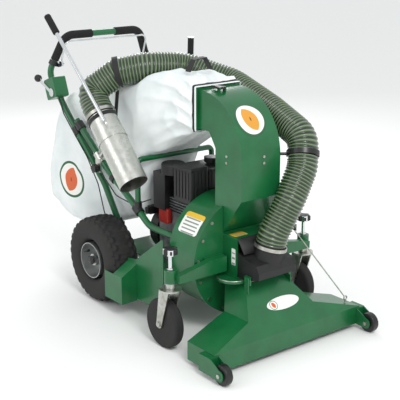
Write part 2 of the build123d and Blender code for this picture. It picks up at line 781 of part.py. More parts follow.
# A saddle on the left wall of the chute holds the hose where it climbs
ring_at = hose_route[3] + (hose_route[4] - hose_route[3]) * 0.45
ring_dir = (hose_route[4] - hose_route[3]).normalized()
pad_at = Vector(chute_half, -478.0, ring_at.Z)
with BuildPart() as hose_bracket:
    with Locations(pad_at + Vector(2, 0, 0)):
        Box(4, 40, 40)
    arm = ring_at - pad_at
    with Locations(Plane(origin=pad_at + Vector(1, 0, 0), z_dir=arm.normalized()).location):
        Cylinder(6, arm.length, align=(Align.CENTER, Align.CENTER, Align.MIN))
    with Locations(Plane(origin=ring_at - ring_dir * 10, z_dir=ring_dir).location):
        Cylinder(hose_r + band, 20, align=(Align.CENTER, Align.CENTER, Align.MIN))
    add(hose_envelope.part, mode=Mode.SUBTRACT)
    split(bisect_by=Plane.YZ.offset(chute_half), keep=Keep.TOP)
hose_bracket.part.label = "hose_bracket"
export_step(hose_bracket.part, "parts/hose_bracket.step")

wand = rod_between(wand_low, wand_high, wand_r, wand_wall)
wand.part.label = "wand"
export_step(wand.part, "parts/wand.step")

# The wand's own handle: a bright rod on a stand-off, with a foam grip at its end
rod_r = 8.0
wand_grip_length = 95.0
wand_rod_foot = Vector(-350.0, 52.0, 842.5)
wand_rod_end = Vector(-350.0, 481.0, 1228.6)
rod_dir = (wand_rod_end - wand_rod_foot).normalized()
with BuildPart() as wand_handle:
    with Locations(Plane(origin=wand_rod_foot, z_dir=rod_dir).location):
        Cylinder(rod_r, (wand_rod_end - wand_rod_foot).length, align=(Align.CENTER, Align.CENTER, Align.MIN))
    foot_mid = wand_rod_foot + rod_dir * 18
    to_axis = foot_mid - wand_high
    to_axis = wand_dir * to_axis.dot(wand_dir) - to_axis
    with Locations(Plane(origin=foot_mid, z_dir=to_axis.normalized()).location):
        Cylinder(10, to_axis.length, align=(Align.CENTER, Align.CENTER, Align.MIN))
    with Locations(Plane(origin=wand_low, z_dir=wand_dir).location):
        Cylinder(wand_r, 400, align=(Align.CENTER, Align.CENTER, Align.MIN), mode=Mode.SUBTRACT)
    with Locations(Plane(origin=wand_rod_end - rod_dir * wand_grip_length, z_dir=rod_dir).location):
        Cylinder(14, wand_grip_length + 4, align=(Align.CENTER, Align.CENTER, Align.MIN))
wand_handle.part.label = "wand_handle"
export_step(wand_handle.part, "parts/wand_handle.step")

# =====================================================================
# Handlebar, foam grips and the tubes that brace it to the fan housing
# =====================================================================
handle_half = [
    Vector(-160, 250, 320),
    Vector(-195, 308, 500),
    Vector(-235, 573, 820),
    Vector(-270, 628, 965),
    Vector(-200, 593, 1128),
]
handle_bends = [120, 120, 70, 60]


def mirrored(point):
    """The same place on the other side of the machine."""
    return Vector(-point.X, point.Y, point.Z)


handle_route = handle_half + [mirrored(p) for p in reversed(handle_half)]
handlebar = route_tube(handle_route, handle_bends + handle_bends[::-1], tube_r, tube_wall)
handlebar.part.label = "handlebar"
export_step(handlebar.part, "parts/handlebar.step")

grip_end_x = 64.0
loop_dir = (handle_half[4] - handle_half[3]).normalized()
with BuildPart() as handle_grips:
    for side in SIDES.values():
        run = [
            handle_half[3] + loop_dir * 60,
            handle_half[4],
            Vector(-grip_end_x, handle_half[4].Y, handle_half[4].Z),
        ]
        run = run if side < 0 else [mirrored(p) for p in run]
        with BuildLine(mode=Mode.PRIVATE) as grip_line:
            FilletPolyline(*run, radius=handle_bends[3])
        grip_path = grip_line.wires()[0]
        with BuildSketch(Plane(origin=grip_path @ 0, z_dir=grip_path % 0)):
            Circle(grip_r)
            Circle(tube_r, mode=Mode.SUBTRACT)
        sweep(path=grip_path)
handle_grips.part.label = "handle_grips"
export_step(handle_grips.part, "parts/handle_grips.step")

frame_half = [
    Vector(-frame_tube_x, housing_rear_y, 388),
    Vector(-frame_tube_x, -42, 388),
    Vector(-frame_tube_x, 66, 456),
    Vector(-frame_tube_x, 266, 566),
    Vector(-228, 473, 765),
]
frame_bends = [110, 150, 200]
rest_bar_y = 43.0
rest_bar_z = 660.0
rest_post_z = 478.0
with BuildPart() as frame_tubes:
    for side in SIDES.values():
        run = frame_half if side < 0 else [mirrored(p) for p in frame_half]
        with BuildLine(mode=Mode.PRIVATE) as frame_line:
            FilletPolyline(*run, radius=frame_bends)
        frame_path = frame_line.wires()[0]
        with BuildSketch(Plane(origin=frame_path @ 0, z_dir=frame_path % 0)):
            Circle(tube_r)
            Circle(tube_r - tube_wall, mode=Mode.SUBTRACT)
        sweep(path=frame_path)
frame_tubes.part.label = "frame_tubes"
export_step(frame_tubes.part, "parts/frame_tubes.step")

rest_route = [
    Vector(-frame_tube_x, rest_bar_y, rest_post_z),
    Vector(-frame_tube_x, rest_bar_y, rest_bar_z),
    Vector(frame_tube_x, rest_bar_y, rest_bar_z),
    Vector(frame_tube_x, rest_bar_y, rest_post_z),
]
bag_rest_bar = route_tube(rest_route, 24, tube_r - 2, tube_wall)
bag_rest_bar.part.label = "bag_rest_bar"
export_step(bag_rest_bar.part, "parts/bag_rest_bar.step")

# Clamps: split blocks round the tubes, and the feet of the handlebar on the deck
clamp_r = tube_r + 6.0
brace_dir = (frame_half[4] - frame_half[3]).normalized()
climb_dir = (frame_half[2] - frame_half[1]).normalized()
upper_dir = (frame_half[3] - frame_half[2]).normalized()
rise_dir = (handle_half[2] - handle_half[1]).normalized()
foot_dir = (handle_half[1] - handle_half[0]).normalized()
post_at = frame_half[2] - (frame_half[2] - frame_half[1]) * ((66 - rest_bar_y) / 108)
brace_end = frame_half[4] - brace_dir * 34
handle_near = handle_half[1] + rise_dir * (brace_end - handle_half[1]).dot(rise_dir)
along_z = (Align.CENTER, Align.CENTER, Align.MIN)
lever_root = frame_half[3] - (frame_half[3] - frame_half[2]).normalized() * 50
lever_pin_r = 5.0
height_x = 232.0
height_y = 256.0
height_z = 590.0
pivot_y = 600.0
pivot_z = 1001.0
pivot_r = 4.0
pivot_x = 236.0
with BuildPart() as tube_clamps:
    for side in SIDES.values():

        def here(vector):
            """A place or direction on this side of the machine."""
            return vector if side < 0 else mirrored(vector)

        sleeves = [
            (brace_end, brace_dir, 36),
            (handle_near, rise_dir, 36),
            (post_at, climb_dir, 40),
            (handle_half[0] + foot_dir * 12, foot_dir, 24),
            (handle_half[3] + loop_dir * 46, loop_dir, 20),
            (lever_root, upper_dir, 24),
        ]
        for middle, along, length in sleeves:
            with Locations(Plane(origin=here(middle - along * (length / 2)), z_dir=here(along)).location):
                Cylinder(clamp_r, length, align=along_z)
        strut = handle_near - brace_end
        with Locations(Plane(origin=here(brace_end), z_dir=here(strut).normalized()).location):
            Cylinder(11, strut.length, align=along_z)
        post = Vector(-frame_tube_x, rest_bar_y, rest_post_z - 26)
        with Locations(here(post)):
            Cylinder(tube_r + 3, 26, align=along_z)
        deck_post = handle_half[0] + foot_dir * 12
        with Locations(here(Vector(deck_post.X + 16, deck_post.Y, deck_top_z))):
            Box(10, 36, deck_post.Z - deck_top_z, align=along_z)
        with Locations(here(Vector(-pivot_x, pivot_y + 6, pivot_z - 4))):
            Box(10, 26, 16)
        with BuildSketch(Plane.YZ.offset(side * (pivot_x - 11) - 15)):
            with Locations((pivot_y, pivot_z)):
                Circle(pivot_r)
        extrude(amount=30)
        for middle, along, length in sleeves:
            with Locations(Plane(origin=here(middle - along * (length / 2 + 14)), z_dir=here(along)).location):
                Cylinder(tube_r, length + 28, align=along_z, mode=Mode.SUBTRACT)
    with BuildSketch(Plane.YZ.offset(frame_tube_x + 14)):
        with BuildLine():
            Polyline(
                (lever_root.Y - 12, lever_root.Z - 4),
                (lever_root.Y - 12, lever_root.Z + 12),
                (height_y - 13, height_z + 13),
                (height_y + 13, height_z + 13),
                (height_y + 13, height_z - 13),
                (lever_root.Y + 12, lever_root.Z - 4),
                close=True,
            )
        make_face()
    extrude(amount=7)
    with BuildSketch(Plane.YZ.offset(frame_tube_x + 14)):
        with Locations((height_y, height_z)):
            Circle(lever_pin_r)
    extrude(amount=28)
    with Locations(Plane(origin=mirrored(lever_root - upper_dir * 60), z_dir=mirrored(upper_dir)).location):
        Cylinder(tube_r, 100, align=along_z, mode=Mode.SUBTRACT)
tube_clamps.part.label = "tube_clamps"
export_step(tube_clamps.part, "parts/tube_clamps.step")

# Bail: a wire loop in front of the top bar, turning on the two pivots
bail_r = 4.0
bail_x = 222.0
bail_route = [
    Vector(-bail_x, pivot_y - 5, pivot_z + 9),
    Vector(-bail_x, 562, 1104),
    Vector(bail_x, 562, 1104),
    Vector(bail_x, pivot_y - 5, pivot_z + 9),
]
with BuildPart() as bail:
    with BuildLine(mode=Mode.PRIVATE) as bail_line:
        FilletPolyline(*bail_route, radius=30)
    bail_path = bail_line.wires()[0]
    with BuildSketch(Plane(origin=bail_path @ 0, z_dir=bail_path % 0)):
        Circle(bail_r)
    sweep(path=bail_path)
    for side in SIDES.values():
        with BuildSketch(Plane.YZ.offset(side * bail_x - 5)):
            with Locations((pivot_y, pivot_z)):
                Circle(13)
        extrude(amount=10)
        with BuildSketch(Plane.YZ.offset(side * bail_x - 5)):
            with Locations((pivot_y, pivot_z)):
                Circle(pivot_r + bore_gap)
        extrude(amount=10, mode=Mode.SUBTRACT)
bail.part.label = "bail"
export_step(bail.part, "parts/bail.step")

# Control box on the right tube, and the shift lever on its outer face
box_mid = (handle_half[2] + handle_half[3]) / 2 + Vector(0, 0, 2)
tube_dir = (handle_half[3] - handle_half[2]).normalized()
box_dir = Vector(0, 55, 145).normalized()
control_half = 33.0
shift_z = 880.0
shift_y = box_mid.Y - 16.0
with BuildPart() as control_box:
    with Locations(Plane(origin=box_mid, x_dir=(1, 0, 0), z_dir=box_dir).location):
        Box(2 * control_half, 84, 92)
    fillet(control_box.edges().filter_by(Axis.X), 10)
    with Locations(Plane(origin=handle_half[2] - tube_dir * 20, z_dir=tube_dir).location):
        Cylinder(tube_r + 0.02, 220, align=along_z, mode=Mode.SUBTRACT)
    with BuildSketch(Plane.YZ.offset(box_mid.X - control_half)):
        with Locations((shift_y, shift_z)):
            Circle(lever_pin_r + bore_gap)
    extrude(amount=12, mode=Mode.SUBTRACT)
control_box.part.label = "control_box"
export_step(control_box.part, "parts/control_box.step")

knob_y = 700.0
knob_at_z = 930.0
lever_face_x = box_mid.X - control_half - run_gap
with BuildPart() as shift_lever:
    reach = Vector(0, knob_y - shift_y, knob_at_z - shift_z)
    with BuildSketch(Plane.YZ.offset(lever_face_x - 3)):
        with Locations((shift_y, shift_z)):
            Circle(19)
        middle = (shift_y + reach.Y / 2, shift_z + reach.Z / 2)
        with Locations(Location((middle[0], middle[1], 0), (0, 0, degrees(atan2(reach.Z, reach.Y))))):
            Rectangle(reach.length, 16)
    extrude(amount=3)
    with BuildSketch(Plane.YZ.offset(lever_face_x - 3)):
        with Locations((shift_y, shift_z)):
            Circle(lever_pin_r)
    extrude(amount=3 + run_gap + 10)
    with Locations((lever_face_x - 1.5, knob_y, knob_at_z)):
        Sphere(17)
shift_lever.part.label = "shift_lever"
export_step(shift_lever.part, "parts/shift_lever.step")

# Height lever: a long bright rod on a pivot beside the left frame tube
height_top = Vector(height_x, 232, 1118)
height_dir = (height_top - Vector(height_x, height_y, height_z)).normalized()
with BuildPart() as height_lever:
    with Locations(Plane(origin=(height_x, height_y, height_z), z_dir=height_dir).location):
        Cylinder(6, 528, align=along_z)
    with Locations(Plane(origin=height_top - height_dir * 95, z_dir=height_dir).location):
        Cylinder(13, 100, align=along_z)
    with BuildSketch(Plane.YZ.offset(height_x - 6)):
        with Locations((height_y, height_z)):
            Circle(14)
    extrude(amount=12)
    with BuildSketch(Plane.YZ.offset(height_x - 6)):
        with Locations((height_y, height_z)):
            Circle(lever_pin_r + bore_gap)
    extrude(amount=12, mode=Mode.SUBTRACT)
height_lever.part.label = "height_lever"
export_step(height_lever.part, "parts/height_lever.step")

# =====================================================================
# Wand bracket and its knob, on the right frame tube
# =====================================================================
hold_at = frame_half[3] + brace_dir * 75
wand_foot = wand_low + wand_dir * 225
hold_arm = wand_foot - hold_at
knob_bolt_y = 312.0
knob_bolt_z = 575.0
knob_bolt_r = 4.0
lug_x = -222.0
with BuildPart() as wand_bracket:
    with Locations(Plane(origin=hold_at - brace_dir * 25, z_dir=brace_dir).location):
        Cylinder(clamp_r, 50, align=along_z)
    with Locations(Plane(origin=hold_at, z_dir=hold_arm.normalized()).location):
        Cylinder(10, hold_arm.length - wand_r + 2, align=along_z)
    with Locations(Plane(origin=wand_foot - wand_dir * 15, z_dir=wand_dir).location):
        Cylinder(wand_r + 3, 30, align=along_z)
    with Locations((lug_x, knob_bolt_y, (knob_bolt_z + 600) / 2)):
        Box(8, 36, 60)
    with Locations(Plane(origin=wand_low, z_dir=wand_dir).location):
        Cylinder(wand_r, 400, align=along_z, mode=Mode.SUBTRACT)
    with Locations(Plane(origin=hold_at - brace_dir * 60, z_dir=brace_dir).location):
        Cylinder(tube_r, 120, align=along_z, mode=Mode.SUBTRACT)
    with BuildSketch(Plane.YZ.offset(lug_x - 4)):
        with Locations((knob_bolt_y, knob_bolt_z)):
            Circle(knob_bolt_r + bore_gap)
    extrude(amount=8, mode=Mode.SUBTRACT)
wand_bracket.part.label = "wand_bracket"
export_step(wand_bracket.part, "parts/wand_bracket.step")

with BuildPart() as wand_knob:
    with BuildSketch(Plane.YZ.offset(lug_x - 4 - run_gap - 24)):
        with Locations((knob_bolt_y, knob_bolt_z)):
            Circle(17)
            with PolarLocations(15, 5):
                Circle(5)
    extrude(amount=20)
    with BuildSketch(Plane.YZ.offset(lug_x - 4 - run_gap - 4)):
        with Locations((knob_bolt_y, knob_bolt_z)):
            Circle(9)
    extrude(amount=4)
    with BuildSketch(Plane.YZ.offset(lug_x - 4 - run_gap)):
        with Locations((knob_bolt_y, knob_bolt_z)):
            Circle(knob_bolt_r)
    extrude(amount=run_gap + 14)
wand_knob.part.label = "wand_knob"
export_step(wand_knob.part, "parts/wand_knob.step")

# =====================================================================
# Casters: an arm and sleeve each side, then screw, fork and wheel
# =====================================================================
arm_sleeve_low = 280.0
arm_cap_z = 328.0
arm_cap_thick = 4.0
arm_y = fan_face_y - 8.0 - 16.0
arm_root_x = 112.0
height_sleeve_r = 19.0
stem_r = 12.0
height_travel = 20.0
with BuildPart() as caster_arms:
    for side in SIDES.values():
        with BuildSketch(Plane.XZ.offset(-arm_y - 16)):
            with BuildLine():
                Polyline(
                    (side * arm_root_x, 286),
                    (side * arm_root_x, 350),
                    (side * 200, 344),
                    (side * (caster_x - 8), 316),
                    (side * (caster_x - 8), 286),
                    close=True,
                )
            make_face()
        extrude(amount=32)
        with Locations((side * 156, fan_face_y - 4, 318)):
            Box(88, 8, 64)
        with Locations((side * caster_x, caster_y, arm_sleeve_low)):
            Cylinder(caster_sleeve_r, arm_cap_z + arm_cap_thick - arm_sleeve_low, align=along_z)
        with BuildSketch(Plane.XY.offset(arm_sleeve_low)):
            with Locations((side * caster_x, caster_y)):
                Circle(height_sleeve_r + slide_gap)
        extrude(amount=arm_cap_z - arm_sleeve_low, mode=Mode.SUBTRACT)
        with BuildSketch(Plane.XY.offset(arm_cap_z)):
            with Locations((side * caster_x, caster_y)):
                Circle(caster_rod_r + bore_gap)
        extrude(amount=arm_cap_thick, mode=Mode.SUBTRACT)
caster_arms.part.label = "caster_arms"
export_step(caster_arms.part, "parts/caster_arms.step")

fork_thick = 5.0
fork_gap = 4.0
leg_x = caster_wheel_w / 2 + fork_gap
axle_y = caster_y + caster_trail
for name, side in SIDES.items():
    centre_x = side * caster_x
    with BuildPart() as height_sleeve:
        with BuildSketch(Plane.XY.offset(caster_plate_z + 1)):
            with Locations((centre_x, caster_y)):
                Circle(height_sleeve_r)
                Circle(stem_r + bore_gap, mode=Mode.SUBTRACT)
        extrude(amount=42)
        with BuildSketch(Plane.XY.offset(caster_plate_z + 43)):
            with Locations((centre_x, caster_y)):
                Circle(height_sleeve_r)
                Circle(caster_rod_r + bore_gap, mode=Mode.SUBTRACT)
        extrude(amount=6)
    height_sleeve.part.label = name + "_height_sleeve"
    export_step(height_sleeve.part, f"parts/{name}_height_sleeve.step")

    with BuildPart() as height_screw:
        with Locations((centre_x, caster_y, caster_plate_z + 45)):
            Cylinder(caster_rod_r, knob_z - caster_plate_z - 45, align=along_z)
        with Locations((centre_x, caster_y, arm_cap_z + arm_cap_thick + 1)):
            Cylinder(14, 7, align=along_z)
        with BuildSketch(Plane.XY.offset(knob_z - 12)):
            with Locations((centre_x, caster_y)):
                Circle(knob_r - 8)
                with PolarLocations(knob_r - 14, 3):
                    Circle(14)
        extrude(amount=24)
    height_screw.part.label = name + "_height_screw"
    export_step(height_screw.part, f"parts/{name}_height_screw.step")

    with BuildPart() as fork:
        with Locations((centre_x, caster_y, caster_plate_z - 6)):
            Cylinder(caster_plate_r, 6, align=along_z)
        with Locations((centre_x, caster_y, caster_plate_z)):
            Cylinder(stem_r, 41, align=along_z)
        with Locations((centre_x, caster_y, caster_plate_z + 14)):
            Cylinder(caster_rod_r + 1, 27, align=along_z, mode=Mode.SUBTRACT)
        for leg in (-1, 1):
            start = centre_x + leg * leg_x - (fork_thick if leg < 0 else 0)
            with BuildSketch(Plane.YZ.offset(start)):
                with BuildLine():
                    Polyline(
                        (caster_y - 28, caster_plate_z - 4),
                        (axle_y - 16, caster_wheel_r - 6),
                        (axle_y + 16, caster_wheel_r - 6),
                        (caster_y + 34, caster_plate_z - 4),
                        close=True,
                    )
                make_face()
                with Locations((axle_y, caster_wheel_r)):
                    Circle(17)
            extrude(amount=fork_thick)
            with BuildSketch(Plane.YZ.offset(centre_x + leg * (leg_x + fork_thick) - (6 if leg < 0 else 0))):
                with Locations((axle_y, caster_wheel_r)):
                    RegularPolygon(11, 6)
            extrude(amount=6)
        with BuildSketch(Plane.YZ.offset(centre_x - leg_x)):
            with Locations((axle_y, caster_wheel_r)):
                Circle(caster_axle_r)
        extrude(amount=2 * leg_x)
    fork.part.label = name + "_fork"
    export_step(fork.part, f"parts/{name}_fork.step")

    with BuildPart() as caster_wheel:
        with BuildSketch(Plane.YZ.offset(centre_x - caster_wheel_w / 2)):
            with Locations((axle_y, caster_wheel_r)):
                Circle(caster_wheel_r)
        extrude(amount=caster_wheel_w)
        fillet(caster_wheel.edges(), 12)
        with BuildSketch(Plane.YZ.offset(centre_x - caster_wheel_w / 2 - 2)):
            with Locations((axle_y, caster_wheel_r)):
                Circle(18)
        extrude(amount=caster_wheel_w + 4)
        with BuildSketch(Plane.YZ.offset(centre_x - caster_wheel_w / 2 - 2)):
            with Locations((axle_y, caster_wheel_r)):
                Circle(caster_axle_r + bore_gap)
        extrude(amount=caster_wheel_w + 4, mode=Mode.SUBTRACT)
    caster_wheel.part.label = name + "_caster_wheel"
    export_step(caster_wheel.part, f"parts/{name}_caster_wheel.step")

# =====================================================================
# Debris bag: a cloth shell from the outlet to a hanging tail, dented by the hose
# =====================================================================
bag_cloth = 3.0
hose_room = 4.0
neck_y = outlet_y - 8.0
# each section: y, half width at the bottom and at the side, bottom, side and top heights, shoulder
bag_sections = [
    (neck_y, 116, 117, outlet_low_z - 10, outlet_low_z + 4, outlet_top_z + 12, 3),
    (-140, 104, 130, 775, 830, 1036, 26),
    (30, 120, 160, 676, 760, 1028, 45),
    (60, 120, 164, 676, 750, 1022, 45),
    (104, 110, 166, 430, 560, 1012, 45),
    (150, 110, 168, 372, 560, 1000, 45),
    (260, 110, 170, 330, 560, 984, 45),
    (420, 130, 178, 270, 520, 960, 45),
    (520, 172, 198, 247, 420, 920, 45),
    (650, 186, 215, 258, 420, 838, 45),
    (704, 180, 215, 270, 420, 765, 45),
    (804, 150, 195, 298, 350, 425, 25),
]


def bag_ring(section, inset):
    """XZ outline of one bag section, drawn in by the cloth's thickness."""
    low_half, half, low, side_z, top, shoulder = section[1:]
    ring = [
        (low_half - inset, low + inset),
        (half - inset, side_z),
        (half - inset, top - shoulder),
        (half - shoulder - inset / 2, top - inset),
    ]
    return ring + [(-x, z) for x, z in reversed(ring)]


groove = along_hose(hose_r + hose_room)
deep_groove = along_hose(hose_r + hose_room + bag_cloth)
with BuildPart() as bag_inside:
    for section in [(neck_y - 1, *bag_sections[0][1:])] + bag_sections[1:-1]:
        with BuildSketch(Plane.XZ.offset(-section[0])):
            with BuildLine():
                Polyline(*bag_ring(section, bag_cloth), close=True)
            make_face()
    with BuildSketch(Plane.XZ.offset(-bag_sections[-1][0] + bag_cloth)):
        with BuildLine():
            Polyline(*bag_ring(bag_sections[-1], bag_cloth), close=True)
        make_face()
    loft(ruled=True)
    add(deep_groove.part, mode=Mode.SUBTRACT)
with BuildPart() as debris_bag:
    for section in bag_sections:
        with BuildSketch(Plane.XZ.offset(-section[0])):
            with BuildLine():
                Polyline(*bag_ring(section, 0.0), close=True)
            make_face()
    loft(ruled=True)
    add(groove.part, mode=Mode.SUBTRACT)
    add(bag_inside.part, mode=Mode.SUBTRACT)
debris_bag.part.label = "debris_bag"
export_step(debris_bag.part, "parts/debris_bag.step")

# Webbing: the band and tail that tie the hose to the wand, and the bag's carrying loop
strap_at = hose_route[9]
strap_dir = (hose_route[9] - hose_route[8]).normalized()
loop_z = 1035.0
with BuildPart() as straps:
    with Locations(Plane(origin=strap_at - strap_dir * 12, z_dir=strap_dir).location):
        Cylinder(hose_r + band, 24, align=along_z)
    with Locations(Plane(origin=wand_high - wand_dir * 20, z_dir=wand_dir).location):
        Cylinder(wand_r + 3, 16, align=along_z)
    tail_top = strap_at + Vector(0, 0, -hose_r)
    tail_low = wand_high - wand_dir * 12 + Vector(wand_r + 2, 0, 0)
    with Locations(Plane(origin=tail_top, z_dir=(tail_low - tail_top).normalized()).location):
        Box(3, 22, (tail_low - tail_top).length, align=along_z)
    with Locations(Plane(origin=wand_high, z_dir=wand_dir).location):
        Cylinder(hose_r + band + 0.5, 24, align=along_z, mode=Mode.SUBTRACT)
    add(hose_envelope.part, mode=Mode.SUBTRACT)
    with Locations(Plane(origin=wand_low, z_dir=wand_dir).location):
        Cylinder(wand_r, 334, align=along_z, mode=Mode.SUBTRACT)
    with BuildSketch(Plane.XZ.offset(110)):
        with BuildLine():
            Polyline(
                (-62, loop_z + 2), (-34, loop_z + 50), (26, loop_z + 56), (60, loop_z + 2),
                (54, loop_z + 2), (23, loop_z + 52), (-32, loop_z + 46), (-56, loop_z + 2),
                close=True,
            )
        make_face()
    extrude(amount=30)
straps.part.label = "straps"
export_step(straps.part, "parts/straps.step")

# Latch for the bag's neck: a lever on two lugs on top of the elbow
with BuildPart() as strap_latch:
    with Locations((latch_x, latch_y + 23, latch_z + 3)):
        Box(22, 60, 5)
    with Locations((latch_x, latch_y, latch_z + 1)):
        Box(22, 16, 9)
    with BuildSketch(Plane.YZ.offset(latch_x - 20)):
        with Locations((latch_y, latch_z)):
            Circle(latch_pin_r)
    extrude(amount=40)
strap_latch.part.label = "strap_latch"
export_step(strap_latch.part, "parts/strap_latch.step")

# =====================================================================
# Engine: horizontal shaft, tank and muffler on top, starter at the rear
# =====================================================================
block_front_y = housing_rear_y + run_gap
block_rear_y = 44.0
block_half = 95.0
head_z = 500.0
with BuildPart() as engine_block:
    with Locations((0, (block_front_y + block_rear_y) / 2, deck_top_z)):
        Box(2 * block_half, block_rear_y - block_front_y, 228, align=along_z)
    fillet(engine_block.edges().filter_by(Axis.Z), 14)
    with Locations((0, (block_front_y + block_rear_y) / 2, deck_top_z)):
        Box(2 * block_half + 40, block_rear_y - block_front_y - 30, 16, align=along_z)
    fins = [deck_top_z + 236 + 12 * step for step in range(5)]
    for z in fins:
        with Locations((-20, -115, z)):
            Box(150, 150, 4, align=along_z)
    with Locations((-20, -115, deck_top_z + 228)):
        Box(126, 126, head_z - deck_top_z - 228, align=along_z)
    with BuildSketch(Plane.XZ.offset(-block_rear_y)):
        with Locations((0, fan_axis_z)):
            Circle(shaft_r + bore_gap)
    extrude(amount=block_rear_y - block_front_y, mode=Mode.SUBTRACT)
engine_block.part.label = "engine_block"
export_step(engine_block.part, "parts/engine_block.step")

cup_r = 104.0
cup_rear_y = 96.0
with BuildPart() as engine_shroud:
    with BuildSketch(Plane.XZ.offset(-cup_rear_y)):
        with Locations((0, fan_axis_z)):
            Circle(cup_r)
    extrude(amount=cup_rear_y - block_rear_y)
    with BuildSketch(Plane.XZ.offset(-cup_rear_y + 4)):
        with Locations((0, fan_axis_z)):
            Circle(cup_r - 4)
    extrude(amount=cup_rear_y - block_rear_y - 4, mode=Mode.SUBTRACT)
    with Locations((0, 3, 441)):
        Box(236, 82, 160, align=along_z)
    with Locations((0, 53, 400)):
        Box(120, 18, 70, align=along_z)
    with Locations((-104, -20, 386)):
        Box(18, 60, 58, align=along_z)
    with Locations((-92, 83, 398)):
        Box(48, 22, 36, align=along_z)
engine_shroud.part.label = "engine_shroud"
export_step(engine_shroud.part, "parts/engine_shroud.step")

tank_low_z = 512.0
with BuildPart() as fuel_tank:
    with Locations((50, -130, tank_low_z)):
        Box(140, 176, 128, align=along_z)
    fillet(fuel_tank.edges(), 16)
    with Locations((60, -130, tank_low_z + 124)):
        Cylinder(24, 12, align=along_z)
fuel_tank.part.label = "fuel_tank"
export_step(fuel_tank.part, "parts/fuel_tank.step")

with BuildPart() as fuel_cap:
    with Locations((60, -130, tank_low_z + 137)):
        Cylinder(32, 20, align=along_z)
fuel_cap.part.label = "fuel_cap"
export_step(fuel_cap.part, "parts/fuel_cap.step")

with BuildPart() as air_cleaner:
    with Locations((-76, -44, 602)):
        Cylinder(52, 46, align=along_z)
    fillet(air_cleaner.edges().group_by(Axis.Z)[-1], 10)
air_cleaner.part.label = "air_cleaner"
export_step(air_cleaner.part, "parts/air_cleaner.step")

with BuildPart() as muffler:
    with Locations((-76, -163, head_z + 2)):
        Box(96, 116, 156, align=along_z)
    fillet(muffler.edges(), 8)
    with Locations(Plane(origin=(-76, -218, 560), z_dir=(0, -1, 0)).location):
        Cylinder(14, 8, align=along_z)
muffler.part.label = "muffler"
export_step(muffler.part, "parts/muffler.step")

with BuildPart() as starter_grip:
    with Locations((-124, 83, 402)):
        Box(14, 20, 28, align=along_z)
    fillet(starter_grip.edges(), 4)
starter_grip.part.label = "starter_grip"
export_step(starter_grip.part, "parts/starter_grip.step")
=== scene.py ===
# %% [markdown]
# A leaf vacuum mulcher: green painted sheet steel round a fan, a white cloth bag behind it, a
# ribbed hose over the top and a bright steel wand at the side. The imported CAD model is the
# frame. Steel keeps its CAD shape and gets a finish here. Cloth, hose and tyres are new surfaces.

# %% Load the frame
import json
import math
import bpy
import numpy as np
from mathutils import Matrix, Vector


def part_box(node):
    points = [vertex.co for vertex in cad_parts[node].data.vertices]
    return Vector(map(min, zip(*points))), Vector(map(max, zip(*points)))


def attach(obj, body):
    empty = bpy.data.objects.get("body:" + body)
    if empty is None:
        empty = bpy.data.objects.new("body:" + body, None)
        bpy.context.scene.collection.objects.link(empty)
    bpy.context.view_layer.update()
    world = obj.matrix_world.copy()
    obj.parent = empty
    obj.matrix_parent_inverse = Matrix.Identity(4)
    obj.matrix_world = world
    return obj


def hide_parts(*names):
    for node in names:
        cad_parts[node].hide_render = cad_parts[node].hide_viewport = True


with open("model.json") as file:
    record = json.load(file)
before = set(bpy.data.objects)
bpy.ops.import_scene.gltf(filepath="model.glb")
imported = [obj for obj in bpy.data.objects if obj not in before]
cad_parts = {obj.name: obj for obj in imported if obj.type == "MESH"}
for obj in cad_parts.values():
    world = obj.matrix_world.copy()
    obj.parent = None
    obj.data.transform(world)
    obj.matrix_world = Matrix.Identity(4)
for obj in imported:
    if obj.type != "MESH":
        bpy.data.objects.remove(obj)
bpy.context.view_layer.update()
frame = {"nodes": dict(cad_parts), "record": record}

mm = 0.001

# %% [markdown]
# Every finish is a node tree, so three small helpers come first. Colours are chosen as sRGB hex
# values, which is how a paint card gives them, and Blender wants linear light, so one function
# turns one into the other. One function adds a node with its settings and its links.

# %% Colours and nodes
def linear(hex_colour):
    """sRGB hex to linear RGBA: c/12.92 below 0.04045, else ((c + 0.055)/1.055) to the 2.4."""
    parts = np.array([int(hex_colour[i:i + 2], 16) for i in (1, 3, 5)]) / 255
    bright = ((parts + 0.055) / 1.055) ** 2.4
    return (*np.where(parts <= 0.04045, parts / 12.92, bright).tolist(), 1.0)


def add_node(tree, kind, inputs=(), **settings):
    """Adds a node. inputs maps a socket's name or number to a value, or to an output to link."""
    node = tree.nodes.new(kind)
    for name, value in settings.items():
        setattr(node, name, value)
    for name, value in dict(inputs).items():
        if isinstance(value, bpy.types.NodeSocket):
            tree.links.new(value, node.inputs[name])
        else:
            node.inputs[name].default_value = value
    return node


def start_material(name, colour, roughness, metallic=0.0, **sockets):
    """A new material. Returns it with its tree, its shader and the object coordinates."""
    material = bpy.data.materials.new(name)
    material.use_nodes = True
    tree = material.node_tree
    shader = tree.nodes["Principled BSDF"]
    fixed = {"Base Color": linear(colour), "Roughness": roughness, "Metallic": metallic}
    fixed.update({key.replace("_", " "): value for key, value in sockets.items()})
    for socket, value in fixed.items():
        shader.inputs[socket].default_value = value
    place = add_node(tree, "ShaderNodeTexCoord").outputs["Object"]
    return material, tree, shader, place


# %% [markdown]
# A painted or moulded surface is never one flat colour. Dust, handling and the way a coat flows
# change its colour and its gloss over some centimetres, and its grain stands up by a few
# hundredths of a millimetre. Both are noise, at a size given in millimetres.

